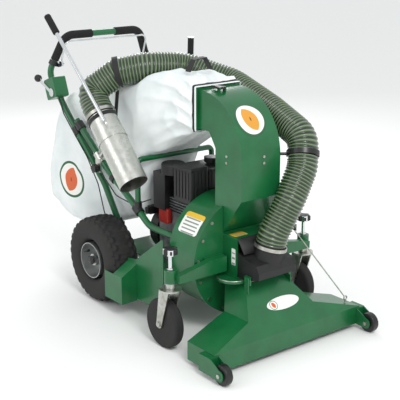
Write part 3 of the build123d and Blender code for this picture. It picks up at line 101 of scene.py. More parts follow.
# %% Mottle and grain
def mottle(tree, shader, place, dark, light, size, rough_low, rough_high):
    """Colour and roughness drift between two values, in patches about size across."""
    noise = add_node(tree, "ShaderNodeTexNoise", {"Vector": place, "Scale": 1 / size, "Detail": 5.0})
    ramp = add_node(tree, "ShaderNodeMapRange", {
        "Value": noise.outputs["Fac"], "From Min": 0.35, "From Max": 0.65})
    colour = add_node(tree, "ShaderNodeMix", {
        "Factor": ramp.outputs["Result"], 6: linear(dark), 7: linear(light)}, data_type="RGBA")
    rough = add_node(tree, "ShaderNodeMapRange", {
        "Value": noise.outputs["Fac"], "From Min": 0.3, "From Max": 0.7,
        "To Min": rough_low, "To Max": rough_high})
    tree.links.new(colour.outputs[2], shader.inputs["Base Color"])
    tree.links.new(rough.outputs["Result"], shader.inputs["Roughness"])
    return colour.outputs[2]


def grain(tree, shader, height, depth, strength=1.0):
    """Raises the surface by depth metres where height is 1."""
    bump = add_node(tree, "ShaderNodeBump", {
        "Height": height, "Distance": depth, "Strength": strength})
    tree.links.new(bump.outputs["Normal"], shader.inputs["Normal"])


# %% [markdown]
# Polyester powder coat, sprayed dry and baked. It flows into a thick glossy skin with a faint
# orange peel. The real peel is about 2 mm across, and 5 mm is drawn so that it shows.

# %% Powder coat, green and black
def powder_coat(name, dark, light, rough_low, rough_high, coat):
    """Baked powder on sheet steel, with orange peel."""
    material, tree, shader, place = start_material(
        name, light, rough_low, Coat_Weight=coat, Coat_Roughness=0.12, IOR=1.5)
    mottle(tree, shader, place, dark, light, 90 * mm, rough_low, rough_high)
    peel = add_node(tree, "ShaderNodeTexNoise", {"Vector": place, "Scale": 1 / (5 * mm), "Detail": 1.0})
    grain(tree, shader, peel.outputs["Fac"], 0.12 * mm)
    return material


green_paint = powder_coat("powder_coat_green", "#0f5a2f", "#126537", 0.28, 0.36, 0.2)
black_paint = powder_coat("powder_coat_black", "#141414", "#1e1e1e", 0.38, 0.52, 0.1)

# %% [markdown]
# The bright metals. Zinc plate is grey with a blue and yellow cast, and the rims are painted. Galvanised tube has large
# flat crystals, called spangle, of 8 to 20 mm. Chrome plate is a mirror with handling marks.
# Cast alloy keeps the sand's grain.

# %% Bright metals
def plated(name, dark, light, rough_low, rough_high, size):
    """A plated or polished metal whose tint and gloss drift over size."""
    material, tree, shader, place = start_material(name, light, rough_low, 1.0)
    mottle(tree, shader, place, dark, light, size, rough_low, rough_high)
    return material


def galvanised_tube():
    """Hot-dip zinc: each Voronoi cell is one crystal, with its own brightness and gloss."""
    material, tree, shader, place = start_material("galvanised_steel", "#c9ccca", 0.3, 1.0)
    cells = add_node(tree, "ShaderNodeTexVoronoi", {"Vector": place, "Scale": 1 / (16 * mm)})
    tone = add_node(tree, "ShaderNodeSeparateColor", {"Color": cells.outputs["Color"]})
    colour = add_node(tree, "ShaderNodeMix", {
        "Factor": tone.outputs["Red"], 6: linear("#bcbdb6"), 7: linear("#cccdc6")}, data_type="RGBA")
    rough = add_node(tree, "ShaderNodeMapRange", {
        "Value": tone.outputs["Green"], "To Min": 0.27, "To Max": 0.4})
    tree.links.new(colour.outputs[2], shader.inputs["Base Color"])
    tree.links.new(rough.outputs["Result"], shader.inputs["Roughness"])
    return material


def cast_alloy_body():
    """Die-cast aluminium, tumbled: a soft grey with a 3 mm grain."""
    material, tree, shader, place = start_material("cast_aluminium", "#8d9090", 0.5, 0.9)
    mottle(tree, shader, place, "#74787a", "#a3a6a6", 40 * mm, 0.42, 0.62)
    sand = add_node(tree, "ShaderNodeTexNoise", {"Vector": place, "Scale": 1 / (3 * mm), "Detail": 3.0})
    grain(tree, shader, sand.outputs["Fac"], 0.25 * mm)
    return material


zinc = plated("zinc_plate", "#a8a89c", "#c8c9c6", 0.26, 0.42, 25 * mm)
bright_steel = plated("chrome_plate", "#cfd2d4", "#e4e6e6", 0.08, 0.2, 60 * mm)
rim_paint = plated("aluminium_paint", "#a9acac", "#c2c4c2", 0.38, 0.5, 50 * mm)
galvanised = galvanised_tube()
cast_alloy = cast_alloy_body()

# %% [markdown]
# The dark soft parts. Tyre rubber is matt and greys with dust, the moulded boot is smoother, and
# the grips are closed-cell foam with 3 mm pores. Engine covers are moulded plastic with a fine
# spark-eroded texture of about 2 mm.

# %% Rubber, foam and plastic
def dark_soft(name, dark, light, rough_low, rough_high, size, pore, depth, **sockets):
    """Rubber or plastic: a mottle over size, and a pebbled skin of grain size pore."""
    material, tree, shader, place = start_material(name, light, rough_low, **sockets)
    mottle(tree, shader, place, dark, light, size, rough_low, rough_high)
    skin = add_node(tree, "ShaderNodeTexVoronoi", {"Vector": place, "Scale": 1 / pore})
    grain(tree, shader, skin.outputs["Distance"], depth)
    return material


tyre_rubber = dark_soft("tyre_rubber", "#1a1a1a", "#2b2a28", 0.72, 0.92, 60 * mm, 3 * mm, 0.15 * mm)
boot_rubber = dark_soft("moulded_rubber", "#121212", "#1c1c1c", 0.45, 0.62, 40 * mm, 3 * mm, 0.1 * mm)
foam = dark_soft("closed_cell_foam", "#101010", "#1b1b1b", 0.85, 0.96, 30 * mm, 3 * mm, 0.5 * mm)
black_plastic = dark_soft("moulded_abs", "#131313", "#1d1d1d", 0.34, 0.5, 50 * mm, 2 * mm, 0.08 * mm)
red_plastic = dark_soft("moulded_red_abs", "#8c1a14", "#a82419", 0.3, 0.42, 50 * mm, 2 * mm, 0.08 * mm)

# %% [markdown]
# The hose is soft PVC over a hard plastic helix. Its colour carries painted light: the ribs are lightened to a pale
# olive as a painted highlight on the crests, and the film between the ribs is darkened to a deep green as painted shade
# in the grooves. The mesh carries a rib value, 1 on a rib and 0 between, and the colour follows it, so it turns with
# the real geometry.

# %% Hose wall
def hose_wall_material():
    """Ribbed PVC: the rib attribute mixes the painted shade of the grooves to the painted highlight of the ribs."""
    material, tree, shader, place = start_material(
        "ribbed_pvc_painted_light", "#1d3a1f", 0.3, Coat_Weight=0.4, Coat_Roughness=0.15, IOR=1.53)
    rib = add_node(tree, "ShaderNodeAttribute", attribute_name="rib")
    # The dark green is painted shade in the grooves and the pale olive is a painted highlight on the ribs.
    colour = add_node(tree, "ShaderNodeMix", {
        "Factor": rib.outputs["Fac"], 6: linear("#122414"), 7: linear("#6f8560")}, data_type="RGBA")
    tree.links.new(colour.outputs[2], shader.inputs["Base Color"])
    return material


hose_wall = hose_wall_material()

# %% [markdown]
# The bag is white polyester, woven plain from thick yarn. Real threads are 0.6 mm apart, far too
# fine to show from four metres, so the weave is drawn at 3 mm. A generic round print, a leaf in
# a ring, sits on both sides. A leaf outline is where two equal circles overlap.

# %% Cloth, webbing and thread
def distance_from(tree, place, centre, flatten):
    """Length of (place - centre) after the axes in flatten are zeroed."""
    offset = add_node(tree, "ShaderNodeVectorMath", {0: place, 1: centre}, operation="SUBTRACT")
    flat = add_node(tree, "ShaderNodeVectorMath", {0: offset.outputs["Vector"], 1: flatten},
                    operation="MULTIPLY")
    length = add_node(tree, "ShaderNodeVectorMath", {0: flat.outputs["Vector"]}, operation="LENGTH")
    return length.outputs["Value"]


def inside(tree, distance, radius):
    """1 within radius, 0 outside, with a 1.5 mm soft edge."""
    edge = add_node(tree, "ShaderNodeMapRange", {
        "Value": distance, "From Min": radius, "From Max": radius - 1.5 * mm})
    return edge.outputs["Result"]


def leaf_print(tree, place, base, centre, radius, flatten, across, leaf_ink):
    """Disc, ring and leaf in three inks over base. across is the leaf's narrow direction."""
    ring_out = inside(tree, distance_from(tree, place, centre, flatten), radius)
    ring_in = inside(tree, distance_from(tree, place, centre, flatten), radius * 0.87)
    shift = Vector(across) * radius * 0.3
    sides = [
        inside(tree, distance_from(tree, place, Vector(centre) + sign * shift, flatten), radius * 0.78)
        for sign in (1, -1)]
    leaf = add_node(tree, "ShaderNodeMath", {0: sides[0], 1: sides[1]}, operation="MINIMUM")
    vein = inside(tree, distance_from(tree, place, centre, across), radius * 0.05)
    colour = base
    inks = (("#1c5a33", ring_out), ("#f2f1ea", ring_in), (leaf_ink, leaf.outputs["Value"]))
    for ink, mask in inks:
        colour = add_node(tree, "ShaderNodeMix", {
            "Factor": mask, 6: colour, 7: linear(ink)}, data_type="RGBA").outputs[2]
    vein_mask = add_node(tree, "ShaderNodeMath", {0: vein, 1: leaf.outputs["Value"]}, operation="MINIMUM")
    return add_node(tree, "ShaderNodeMix", {
        "Factor": vein_mask.outputs["Value"], 6: colour, 7: linear("#6b3d18")},
        data_type="RGBA").outputs[2]


def woven_cloth(name, light, dark, thread, depth, rough, sheen):
    """Plain weave: two sets of waves at right angles, on the piece's own UV map in metres."""
    material, tree, shader, place = start_material(name, light, rough, Sheen_Weight=sheen)
    uv = add_node(tree, "ShaderNodeTexCoord").outputs["UV"]
    waves = [
        add_node(tree, "ShaderNodeTexWave", {"Vector": uv, "Scale": 0.314 / thread},
                 bands_direction=axis).outputs["Fac"]
        for axis in ("X", "Y")]
    weave = add_node(tree, "ShaderNodeMath", {0: waves[0], 1: waves[1]}, operation="MULTIPLY")
    colour = mottle(tree, shader, place, dark, light, 120 * mm, rough - 0.05, rough + 0.05)
    grain(tree, shader, weave.outputs["Value"], depth)
    return material, tree, shader, place, colour


bag_print_centre = (0.0, 0.585, 0.462)
bag_print_r = 0.088
bag_cloth, bag_tree, bag_shader, bag_place, bag_colour = woven_cloth(
    "woven_polyester", "#eef2f1", "#dfe6e6", 3 * mm, 0.25 * mm, 0.82, 0.25)
bag_ink = leaf_print(
    bag_tree, bag_place, bag_colour, bag_print_centre, bag_print_r, (0, 1, 1), (0, 0.94, 0.34),
    "#d6612c")
bag_tree.links.new(bag_ink, bag_shader.inputs["Base Color"])
webbing = woven_cloth("nylon_webbing", "#1b1b1b", "#121212", 2 * mm, 0.3 * mm, 0.7, 0.1)[0]
zip_tape = woven_cloth("zip_tape", "#17181a", "#0e0f10", 2 * mm, 0.3 * mm, 0.65, 0.0)[0]

# %% [markdown]
# Printed labels are glossy vinyl film. They carry only plain fields of colour: a header band and
# rows of grey bars stand for the small print. The front emblem repeats the leaf in a ring.

# %% Vinyl labels
def vinyl_label(name, header, field, bars):
    """A film with a coloured header above grey bars. UV runs from 0 to 1 up the label."""
    material, tree, shader, place = start_material(name, field, 0.28, Coat_Weight=0.3)
    uv = add_node(tree, "ShaderNodeTexCoord").outputs["UV"]
    parts = add_node(tree, "ShaderNodeSeparateXYZ", {"Vector": uv})
    rows = add_node(tree, "ShaderNodeMath", {
        0: parts.outputs["Y"], 1: 2 * math.pi * bars}, operation="MULTIPLY")
    wave = add_node(tree, "ShaderNodeMath", {0: rows.outputs["Value"]}, operation="SINE")
    bar = add_node(tree, "ShaderNodeMath", {0: wave.outputs["Value"], 1: 0.35}, operation="GREATER_THAN")
    middle = add_node(tree, "ShaderNodeMath", {0: parts.outputs["X"], 1: 0.5}, operation="SUBTRACT")
    spread = add_node(tree, "ShaderNodeMath", {0: middle.outputs["Value"]}, operation="ABSOLUTE")
    column = add_node(tree, "ShaderNodeMath", {0: spread.outputs["Value"], 1: 0.38}, operation="LESS_THAN")
    printed = add_node(tree, "ShaderNodeMath", {
        0: bar.outputs["Value"], 1: column.outputs["Value"]}, operation="MULTIPLY")
    text = add_node(tree, "ShaderNodeMix", {
        "Factor": printed.outputs["Value"], 6: linear(field), 7: linear("#8a8f8c")}, data_type="RGBA")
    top = add_node(tree, "ShaderNodeMath", {0: parts.outputs["Y"], 1: 0.76}, operation="GREATER_THAN")
    colour = add_node(tree, "ShaderNodeMix", {
        "Factor": top.outputs["Value"], 6: text.outputs[2], 7: linear(header)}, data_type="RGBA")
    tree.links.new(colour.outputs[2], shader.inputs["Base Color"])
    return material


white_label = vinyl_label("vinyl_white_yellow_header", "#e2b72d", "#eceee8", 6)
yellow_label = vinyl_label("vinyl_yellow", "#d08a1e", "#e0bd3a", 4)
plain_label = vinyl_label("vinyl_white", "#e8e9e2", "#e8e9e2", 3)

# %% [markdown]
# The record names a material slot for each CAD node, so one table from slot to finish repaints
# the whole frame. The wand's bracket is the one exception: it is galvanised, as the wand is. The
# red plastic below the cowl is a slip-on cover made later.

# %% Paint the frame
finishes = {
    "green_paint": green_paint, "black_paint": black_paint, "zinc": zinc, "galvanised": galvanised,
    "bright_steel": bright_steel, "cast_alloy": cast_alloy, "rim_paint": rim_paint,
    "tyre_rubber": tyre_rubber, "boot_rubber": boot_rubber, "foam": foam, "hose_wall": hose_wall,
    "black_plastic": black_plastic, "bag_cloth": bag_cloth, "webbing": webbing,
}
for part in frame["record"]["subparts"]:
    mesh = frame["nodes"][part["node"]].data
    mesh.materials.clear()
    mesh.materials.append(finishes[part["material_slot"]])
frame["nodes"]["wand_bracket"].data.materials[0] = galvanised

# %% [markdown]
# New surfaces are grids. A grid of points is worked out as whole arrays, then one helper makes
# the quads between neighbours, wraps them round where the grid closes, and writes the mesh.

# %% Grid to mesh
def grid_piece(name, points, material, body, wrap_rows=False, wrap_columns=False, uv=None, **values):
    """Mesh from points[row, column]. values are extra point attributes of the same grid."""
    rows, columns = points.shape[:2]
    i = np.arange(rows if wrap_rows else rows - 1)[:, None]
    j = np.arange(columns if wrap_columns else columns - 1)[None, :]
    below, right = (i + 1) % rows, (j + 1) % columns
    quads = np.stack([i * columns + j, i * columns + right, below * columns + right,
                      below * columns + j], -1).reshape(-1, 4)
    mesh = bpy.data.meshes.new(name)
    mesh.from_pydata(points.reshape(-1, 3).tolist(), [], quads.tolist())
    mesh.shade_smooth()
    if uv is not None:
        layer = mesh.uv_layers.new(name="surface")
        layer.data.foreach_set("uv", uv.reshape(-1, 2)[quads.ravel()].ravel().astype(np.float32))
    for key, value in values.items():
        mesh.attributes.new(key, "FLOAT", "POINT").data.foreach_set("value", value.ravel())
    piece = bpy.data.objects.new(name, mesh)
    bpy.context.scene.collection.objects.link(piece)
    mesh.materials.append(material)
    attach(piece, body)
    return piece


def finish_with(piece, kind, **settings):
    """Adds a modifier by its type and sets it."""
    modifier = piece.modifiers.new(kind.title(), kind)
    for name, value in settings.items():
        setattr(modifier, name, value)
    return modifier


# %% [markdown]
# The hose runs from the boot, up the left of the elbow, over the bag and down into the wand. Its
# route is straight runs joined by arcs, the same points as the CAD tube. A frame of two normals
# is carried along the line without twist, and the section rides on it.

# %% Carry a section along a line
def rounded_line(corners, bends, step):
    """Straight runs with each corner replaced by a quadratic arc that starts one bend-length away."""
    corners = np.array(corners, float)
    line = [corners[0]]
    for before, at, after, bend in zip(corners[:-2], corners[1:-1], corners[2:], bends):
        back = (before - at) / np.linalg.norm(before - at)
        ahead = (after - at) / np.linalg.norm(after - at)
        half_turn = math.acos(np.clip(-back @ ahead, -1, 1)) / 2
        reach = min(bend * math.tan(half_turn),
                    np.linalg.norm(before - at) / 2, np.linalg.norm(after - at) / 2)
        t = np.linspace(0, 1, 13)[:, None]
        arc = (1 - t) ** 2 * (at + back * reach) + 2 * t * (1 - t) * at + t ** 2 * (at + ahead * reach)
        line.extend(arc)
    line = np.array([*line, corners[-1]])
    along = np.concatenate([[0], np.cumsum(np.linalg.norm(np.diff(line, axis=0), axis=1))])
    stations = np.linspace(0, along[-1], max(2, int(along[-1] / step)))
    even = np.stack([np.interp(stations, along, line[:, axis]) for axis in range(3)], 1)
    return even, stations


def carried(line, radius, around):
    """Tube: line + radius(station, angle) * (n cos a + b sin a), n carried without twist."""
    tangent = np.gradient(line, axis=0)
    tangent /= np.linalg.norm(tangent, axis=1)[:, None]
    normal = np.zeros_like(line)
    normal[0] = np.cross(tangent[0], [0.0, 0.3, 1.0])
    for k in range(1, len(line)):
        normal[k] = normal[k - 1] - tangent[k] * (normal[k - 1] @ tangent[k])
        normal[k] /= np.linalg.norm(normal[k])
    normal[0] /= np.linalg.norm(normal[0])
    binormal = np.cross(tangent, normal)
    angle = np.linspace(0, 2 * np.pi, around, endpoint=False)
    spokes = normal[:, None] * np.cos(angle)[:, None] + binormal[:, None] * np.sin(angle)[:, None]
    return line[:, None] + radius[..., None] * spokes, angle


# %% [markdown]
# The wall is a helix of ribs: the radius rises and falls once per pitch, and the wave turns with
# the angle so that the ribs spiral. Ribs are narrow and rounded and the film between them is
# wider, so the wave is raised to a power. A smooth cuff is left at each end.

# %% Ribbed hose
hose_r = 62.5 * mm
rib_pitch = 13.5 * mm
rib_depth = 4.5 * mm
rib_power = 2.2
cuff_length, cuff_fade = 22 * mm, 8 * mm
hose_around = 40
port_base, port_dir = Vector((6, -552, 346)), Vector((0.18, -0.10, 0.98)).normalized()
wand_low, wand_high = Vector((-300, -76, 596)), Vector((-300, 152, 836))
wand_dir = (wand_high - wand_low).normalized()
hose_route = [
    port_base + port_dir * 37, port_base + port_dir * 100, (95, -577, 575), (172, -562, 690),
    (210, -522, 800), (209, -333, 880), (186, -110, 966), (60, 58, 1026), (-100, 110, 1035),
    (-200, 178, 1012), wand_high + wand_dir * 128 + Vector((6, -6, 6)),
    wand_high + wand_dir * 60, wand_high,
]
hose_bends = [120, 150, 150, 100, 200, 150, 150, 150, 100, 70, 100]
hose_line, hose_station = rounded_line(
    np.array([tuple(point) for point in hose_route]) * mm, np.array(hose_bends) * mm, 1.35 * mm)
hose_angle = np.linspace(0, 2 * np.pi, hose_around, endpoint=False)
rib_phase = 2 * np.pi * hose_station[:, None] / rib_pitch + hose_angle[None, :]
rib = (0.5 + 0.5 * np.cos(rib_phase)) ** rib_power
from_end = np.minimum(hose_station, hose_station[-1] - hose_station)
cuff = np.clip((from_end - cuff_length) / cuff_fade, 0, 1)[:, None]
hose_radius = hose_r - rib_depth + rib_depth * rib * cuff
hose_points, _ = carried(hose_line, hose_radius, hose_around)
hose = grid_piece("ribbed_hose", hose_points, hose_wall, "chassis", wrap_columns=True, rib=rib * cuff)
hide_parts("suction_hose")
print("hose length", round(float(hose_station[-1]), 3), "m, ribs", int(hose_station[-1] / rib_pitch))

# %% [markdown]
# The bag is a lofted cloth tube. Twelve stations along it give its half width, bottom, side and top;
# between them every size is eased, so no flat panels are left. The rear closes by shrinking the
# last ring to a point over a quarter circle. Then it is sculpted: pleats gathered at the neck
# that fade to the rear, and long slack folds that lean with the load.

# %% Bag stations and rings
bag_stations = np.array([
    # y, low half, half, bottom, side z, top, shoulder
    (-248, 116, 117, 818, 832, 997, 3),
    (-140, 104, 130, 775, 830, 1036, 26),
    (30, 120, 160, 676, 760, 1028, 45),
    (60, 120, 164, 640, 750, 1022, 45),
    (104, 110, 166, 470, 580, 1012, 45),
    (150, 110, 168, 372, 560, 1000, 45),
    (260, 110, 170, 330, 560, 984, 45),
    (420, 130, 178, 270, 520, 960, 45),
    (520, 172, 198, 247, 420, 920, 45),
    (650, 186, 215, 258, 420, 838, 45),
    (704, 180, 215, 270, 420, 765, 45),
    (792, 150, 195, 298, 350, 470, 25),
]) * mm


def eased(values, width):
    """Moving average with a raised-cosine window; the ends are held."""
    window = np.hanning(width)
    padded = np.pad(values, width // 2, mode="edge")
    return np.convolve(padded, window / window.sum(), mode="same")[width // 2: -(width // 2)]


rows, columns, cap_rows = 210, 200, 24
row_y = np.linspace(bag_stations[0, 0], bag_stations[-1, 0], rows)
row_step = row_y[1] - row_y[0]
sizes = [np.interp(row_y, bag_stations[:, 0], bag_stations[:, c]) for c in range(1, 7)]
sizes = [np.where(row_y < -0.2, size, eased(size, 21)) for size in sizes]


def bag_rings(low_half, half, low, side_z, top, shoulder):
    """Closed eight-cornered rings, walked evenly and then rounded by a circular average."""
    right = [(low_half, low), (half, side_z), (half, top - shoulder), (half - shoulder, top)]
    corners = right + [(-x, z) for x, z in reversed(right)]
    x = np.stack([c[0] for c in corners], 1)
    z = np.stack([c[1] for c in corners], 1)
    x, z = np.concatenate([x, x[:, :1]], 1), np.concatenate([z, z[:, :1]], 1)
    run = np.concatenate([np.zeros((len(x), 1)), np.cumsum(np.hypot(np.diff(x), np.diff(z)), 1)], 1)
    out = np.empty((len(x), columns, 2))
    for k in range(len(x)):
        at = np.linspace(0, run[k, -1], columns, endpoint=False)
        out[k, :, 0], out[k, :, 1] = np.interp(at, run[k], x[k]), np.interp(at, run[k], z[k])
    window = np.fft.fft(np.roll(np.pad(np.hanning(15), (0, columns - 15)), -7) / np.hanning(15).sum())
    rounded = np.real(np.fft.ifft(np.fft.fft(out, axis=1) * window[None, :, None], axis=1))
    keep = np.clip((row_y + 0.24) / 0.06, 0, 1)[:, None, None]
    return out * (1 - keep) + rounded * keep, run[:, -1]


rings, girth = bag_rings(*sizes)
body_grid = np.stack([rings[..., 0], np.repeat(row_y[:, None], columns, 1), rings[..., 1]], -1)
closing = np.linspace(0, np.pi / 2, cap_rows + 1)[1:, None, None]
last = body_grid[-1:]
middle = last.mean(axis=1, keepdims=True)
cap = middle + (last - middle) * np.cos(closing * 0.985) + np.array([0, 14 * mm, 0]) * np.sin(closing)
bag_grid = np.concatenate([body_grid, cap])
print("bag rows", len(bag_grid), "girth", girth.min().round(3), "to", girth.max().round(3), "m")

# %% [markdown]
# Cloth folds have sharp crests and round valleys, so each fold is one minus the size of a sine,
# squared. The phase is bent by slower waves, which keeps folds from running parallel.

# %% Folds
v = np.linspace(0, 2 * np.pi, columns, endpoint=False)[None, :]
y = bag_grid[..., 1]
height = bag_grid[..., 2]


def fold(phase):
    """Ridged wave: (1 - |sin phase|) squared, from 0 to 1."""
    return (1 - np.abs(np.sin(phase))) ** 2


near_neck = np.exp(-np.clip(y + 0.19, 0, None) / 0.17) * np.clip((y + 0.235) / 0.05, 0, 1)
pleats = fold(6.5 * v + 5.0 * y + 0.7 * np.sin(9 * y + 2 * v)) - 0.3
drag = fold(9 * (height + 0.9 * y) + 0.8 * np.sin(7 * y) + 0.5 * np.sin(5 * v + 11 * y)) - 0.35
slack = fold(5.5 * (height * 1.3 - 0.55 * y) + 1.1 * np.sin(6 * y + 1.0) + 0.6 * np.sin(3 * v)) - 0.3
crumple = fold(21 * (0.8 * height + 0.5 * y) + 1.6 * np.sin(13 * y + 3 * v)) - 0.3
slow_waves = ((17, 4, 0.4), (23, -6, 1.9), (31, 9, 3.1), (43, -13, 5.0))
drift = sum(np.sin(a * y + b * v + c) / a for a, b, c in slow_waves)
open_end = np.clip((y + 0.235) / 0.05, 0, 1)
swell = (near_neck * (19 * pleats + 15 * drag) + open_end * (11 * slack + 5 * crumple + 9 * drift)) * mm
swell[rows:] *= np.cos(closing[:, :, 0] * 0.9)


def outward(grid):
    """Unit normals of a ring grid: along the rows crossed with round the ring."""
    down = np.gradient(grid, axis=0)
    round_it = np.roll(grid, -1, 1) - np.roll(grid, 1, 1)
    normal = np.cross(down, round_it)
    normal /= np.linalg.norm(normal, axis=-1, keepdims=True) + 1e-12
    centre = grid.mean(axis=1, keepdims=True)
    flip = np.sign(((grid - centre) * normal).sum(-1).mean())
    return normal * flip


bag_grid = bag_grid + outward(bag_grid) * (swell - 3 * mm)[..., None]

# %% [markdown]
# The hose lies across the bag's top and presses a groove into it. Every cloth point closer to the
# hose's line than its radius moves inward until it is just outside: along the inward direction n
# from offset w, the way out of a ball of radius R is -w.n + sqrt((w.n)^2 - |w|^2 + R^2).

# %% Press the hose into the bag
def press(grid, line, radius):
    """Moves grid points out of the tube of that radius round line, towards the bag's middle."""
    flat = grid.reshape(-1, 3)
    gap = (flat ** 2).sum(1)[:, None] + (line ** 2).sum(1)[None, :] - 2 * flat @ line.T
    nearest = line[gap.argmin(1)]
    w = flat - nearest
    inward = np.stack([-flat[:, 0] * 0.5, np.zeros(len(flat)), 0.72 - flat[:, 2]], 1)
    inward /= np.linalg.norm(inward, axis=1)[:, None]
    wn = (w * inward).sum(1)
    short = np.clip(radius ** 2 - (w ** 2).sum(1), 0, None)
    move = np.where(short > 0, -wn + np.sqrt(wn ** 2 + short), 0)
    return (flat + inward * move[:, None]).reshape(grid.shape)


over_bag = hose_line[(hose_line[:, 1] > -0.45) & (hose_line[:, 2] > 0.78)][::4]
bag_grid = press(bag_grid, over_bag, hose_r + 5 * mm)
for _ in range(2):
    smooth = (np.roll(bag_grid, 1, 1) + np.roll(bag_grid, -1, 1) + 2 * bag_grid) / 4
    smooth[1:-1] = (smooth[:-2] + smooth[2:] + 2 * smooth[1:-1]) / 4
    bag_grid[2:-2] = smooth[2:-2]
bag_grid = press(bag_grid, over_bag, hose_r + 3 * mm)
metres_round = np.linspace(0, 1.6, columns)[None, :] + 0 * y
bag_uv = np.stack([metres_round, np.cumsum(np.full_like(y, row_step), 0)], -1)
bag = grid_piece("cloth_bag", bag_grid, bag_cloth, "chassis", wrap_columns=True, uv=bag_uv)
finish_with(bag, "SOLIDIFY", thickness=1.5 * mm, offset=-1)
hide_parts("debris_bag")
print("bag reaches z", bag_grid[..., 2].min().round(3), bag_grid[..., 2].max().round(3))

# %% [markdown]
# Sewn things follow the cloth, so they are pieces of the bag's own grid lifted off it: the neck
# band under the latch, a bound seam down each side, and the zip across the rear.

# %% Bindings, seams and zip
bag_normal = outward(bag_grid)


def sewn(name, row_range, column_range, lift, material):
    """A patch of the bag's grid, lifted along its normal, with its edge rows turned down."""
    part = bag_grid[row_range][:, column_range].copy()
    off = np.full(part.shape[:2], lift)
    off[0] = off[-1] = off[:, 0] = off[:, -1] = -1 * mm
    part += bag_normal[row_range][:, column_range] * off[..., None]
    uv = np.stack(np.meshgrid(np.arange(part.shape[1]) * 8 * mm, np.arange(part.shape[0]) * row_step), -1)
    patch = grid_piece(name, part, material, "chassis", uv=uv)
    return patch


def row_at(y_value):
    """Index of the bag row nearest a y."""
    return int(np.abs(row_y - y_value).argmin())


def column_at(y_value, z_value, sign):
    """Index of the column at that row nearest a height, on the side of that sign."""
    ring = bag_grid[row_at(y_value)]
    return int(np.argmin(np.abs(ring[:, 2] - z_value) + (ring[:, 0] * sign < 0)))


all_round = np.append(np.arange(columns), 0)
sewn_pieces = [sewn("neck_band", slice(row_at(-0.243), row_at(-0.218)), all_round, 2.5 * mm,
                    webbing)]
seam_rows = slice(row_at(-0.2), row_at(0.78))
for side, sign in (("right", -1), ("left", 1)):
    column = column_at(0.4, 0.915, sign)
    sewn_pieces.append(sewn(side + "_bag_seam", seam_rows, slice(column - 1, column + 3), 1.8 * mm,
                            bag_cloth))
    zip_column = column_at(0.76, 0.43, sign)
    sewn_pieces.append(sewn(side + "_zip", slice(row_at(0.755), row_at(0.785)),
                            slice(zip_column - 8, zip_column + 8), 1.2 * mm, zip_tape))
print("sewn pieces on the bag:", len(sewn_pieces))

# %% [markdown]
# A turf tyre is a surface of revolution whose section is a squarish oval: the cosine and sine of
# its angle are raised to a power below one. The tread's blocks are the same surface lifted where
# two square waves, round the tyre and across it, are both on.

# %% Turf tyres
tyre_bore = 79 / 190  # radius of the bore over the tyre's outer radius


def block(phase, sharp=4.0):
    """A square wave with soft shoulders, from 0 to 1."""
    return 0.5 + 0.5 * np.tanh(sharp * (np.cos(phase) + 0.25))


def tyre(name, node, body, lug, blocks, rows_across, square):
    """Closed ring: x = half width * C, r = mid + half height * S, plus lugs on the tread."""
    low, high = (np.array(corner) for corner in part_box(node))
    centre, half_w, outer = (low + high) / 2, (high[0] - low[0]) / 2, (high[2] - low[2]) / 2
    inner = outer * tyre_bore
    section = np.linspace(0, 2 * np.pi, 72, endpoint=False)[None, :]
    turn = np.linspace(0, 2 * np.pi, 420, endpoint=False)[:, None]
    c, s = np.cos(section), np.sin(section)
    across = np.sign(c) * np.abs(c) ** square
    up = np.sign(s) * np.abs(s) ** square
    tread = np.clip((up - 0.62) / 0.2, 0, 1)
    row = np.floor((across + 1) / 2 * rows_across * 0.999)
    cells = block(turn * blocks + np.pi * (row % 2)) * block((across + 1) * np.pi * rows_across + np.pi)
    rib_ring = 1.2 * mm * np.exp(-((up - 0.1) / 0.05) ** 2)
    radius = (outer + inner) / 2 + ((outer - inner) / 2 - lug) * up + lug * tread * cells
    x = centre[0] + (half_w - 2 * mm) * across * (1 - 0.06 * np.clip(-up, 0, 1)) + np.sign(across) * rib_ring
    grid = np.stack(np.broadcast_arrays(
        x, centre[1] + radius * np.cos(turn), centre[2] + radius * np.sin(turn)), -1)
    piece = grid_piece(name, grid, tyre_rubber, body, wrap_rows=True, wrap_columns=True)
    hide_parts(node)
    return centre, outer


for side in ("right", "left"):
    centre, outer = tyre(side + "_turf_tyre", side + "_tyre", side + "_rear_wheel", 6.5 * mm, 30, 7, 0.5)
    print(side, "tyre radius", round(float(outer), 3), "m")

# %% [markdown]
# Turned parts such as the tyre valve and the hub cap are profiles spun about an axis.

# %% Turned parts
def turned(name, profile, centre, axis, material, body, around=32):
    """Surface of revolution: profile rows of (radius, distance along axis) from centre."""
    profile = np.array(profile, float) * mm
    axis = np.array(Vector(axis).normalized())
    side_a = np.array(Vector(axis).orthogonal().normalized())
    side_b = np.cross(axis, side_a)
    angle = np.linspace(0, 2 * np.pi, around, endpoint=False)[None, :, None]
    spoke = side_a * np.cos(angle) + side_b * np.sin(angle)
    grid = np.array(centre) + profile[:, None, 1:2] * axis + profile[:, None, 0:1] * spoke
    piece = grid_piece(name, grid, material, body, wrap_columns=True)
    return piece


hub_cap = [(0.01, 12), (10, 11.5), (17, 9), (19, 5), (19, 0), (0.01, 0)]
valve = [(0.01, 26), (2.6, 26), (2.6, 14), (4.2, 12), (5.5, 0), (0.01, 0)]
for side, sign in (("right", -1), ("left", 1)):
    low, high = (np.array(corner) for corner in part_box(side + "_rim"))
    face = np.array([low[0] if sign < 0 else high[0], (low[1] + high[1]) / 2, (low[2] + high[2]) / 2])
    rim_body = side + "_rear_wheel"
    turned(side + "_hub_cap", hub_cap, face - np.array([sign * 8 * mm, 0, 0]), (sign, 0, 0), black_plastic,
           rim_body)
    turned(side + "_tyre_valve", valve, face + np.array([-sign * 22 * mm, 42 * mm, 30 * mm]),
           (sign, 0, 0), boot_rubber, rim_body, 16)
    print(side, "rim face x", round(float(face[0]), 3))

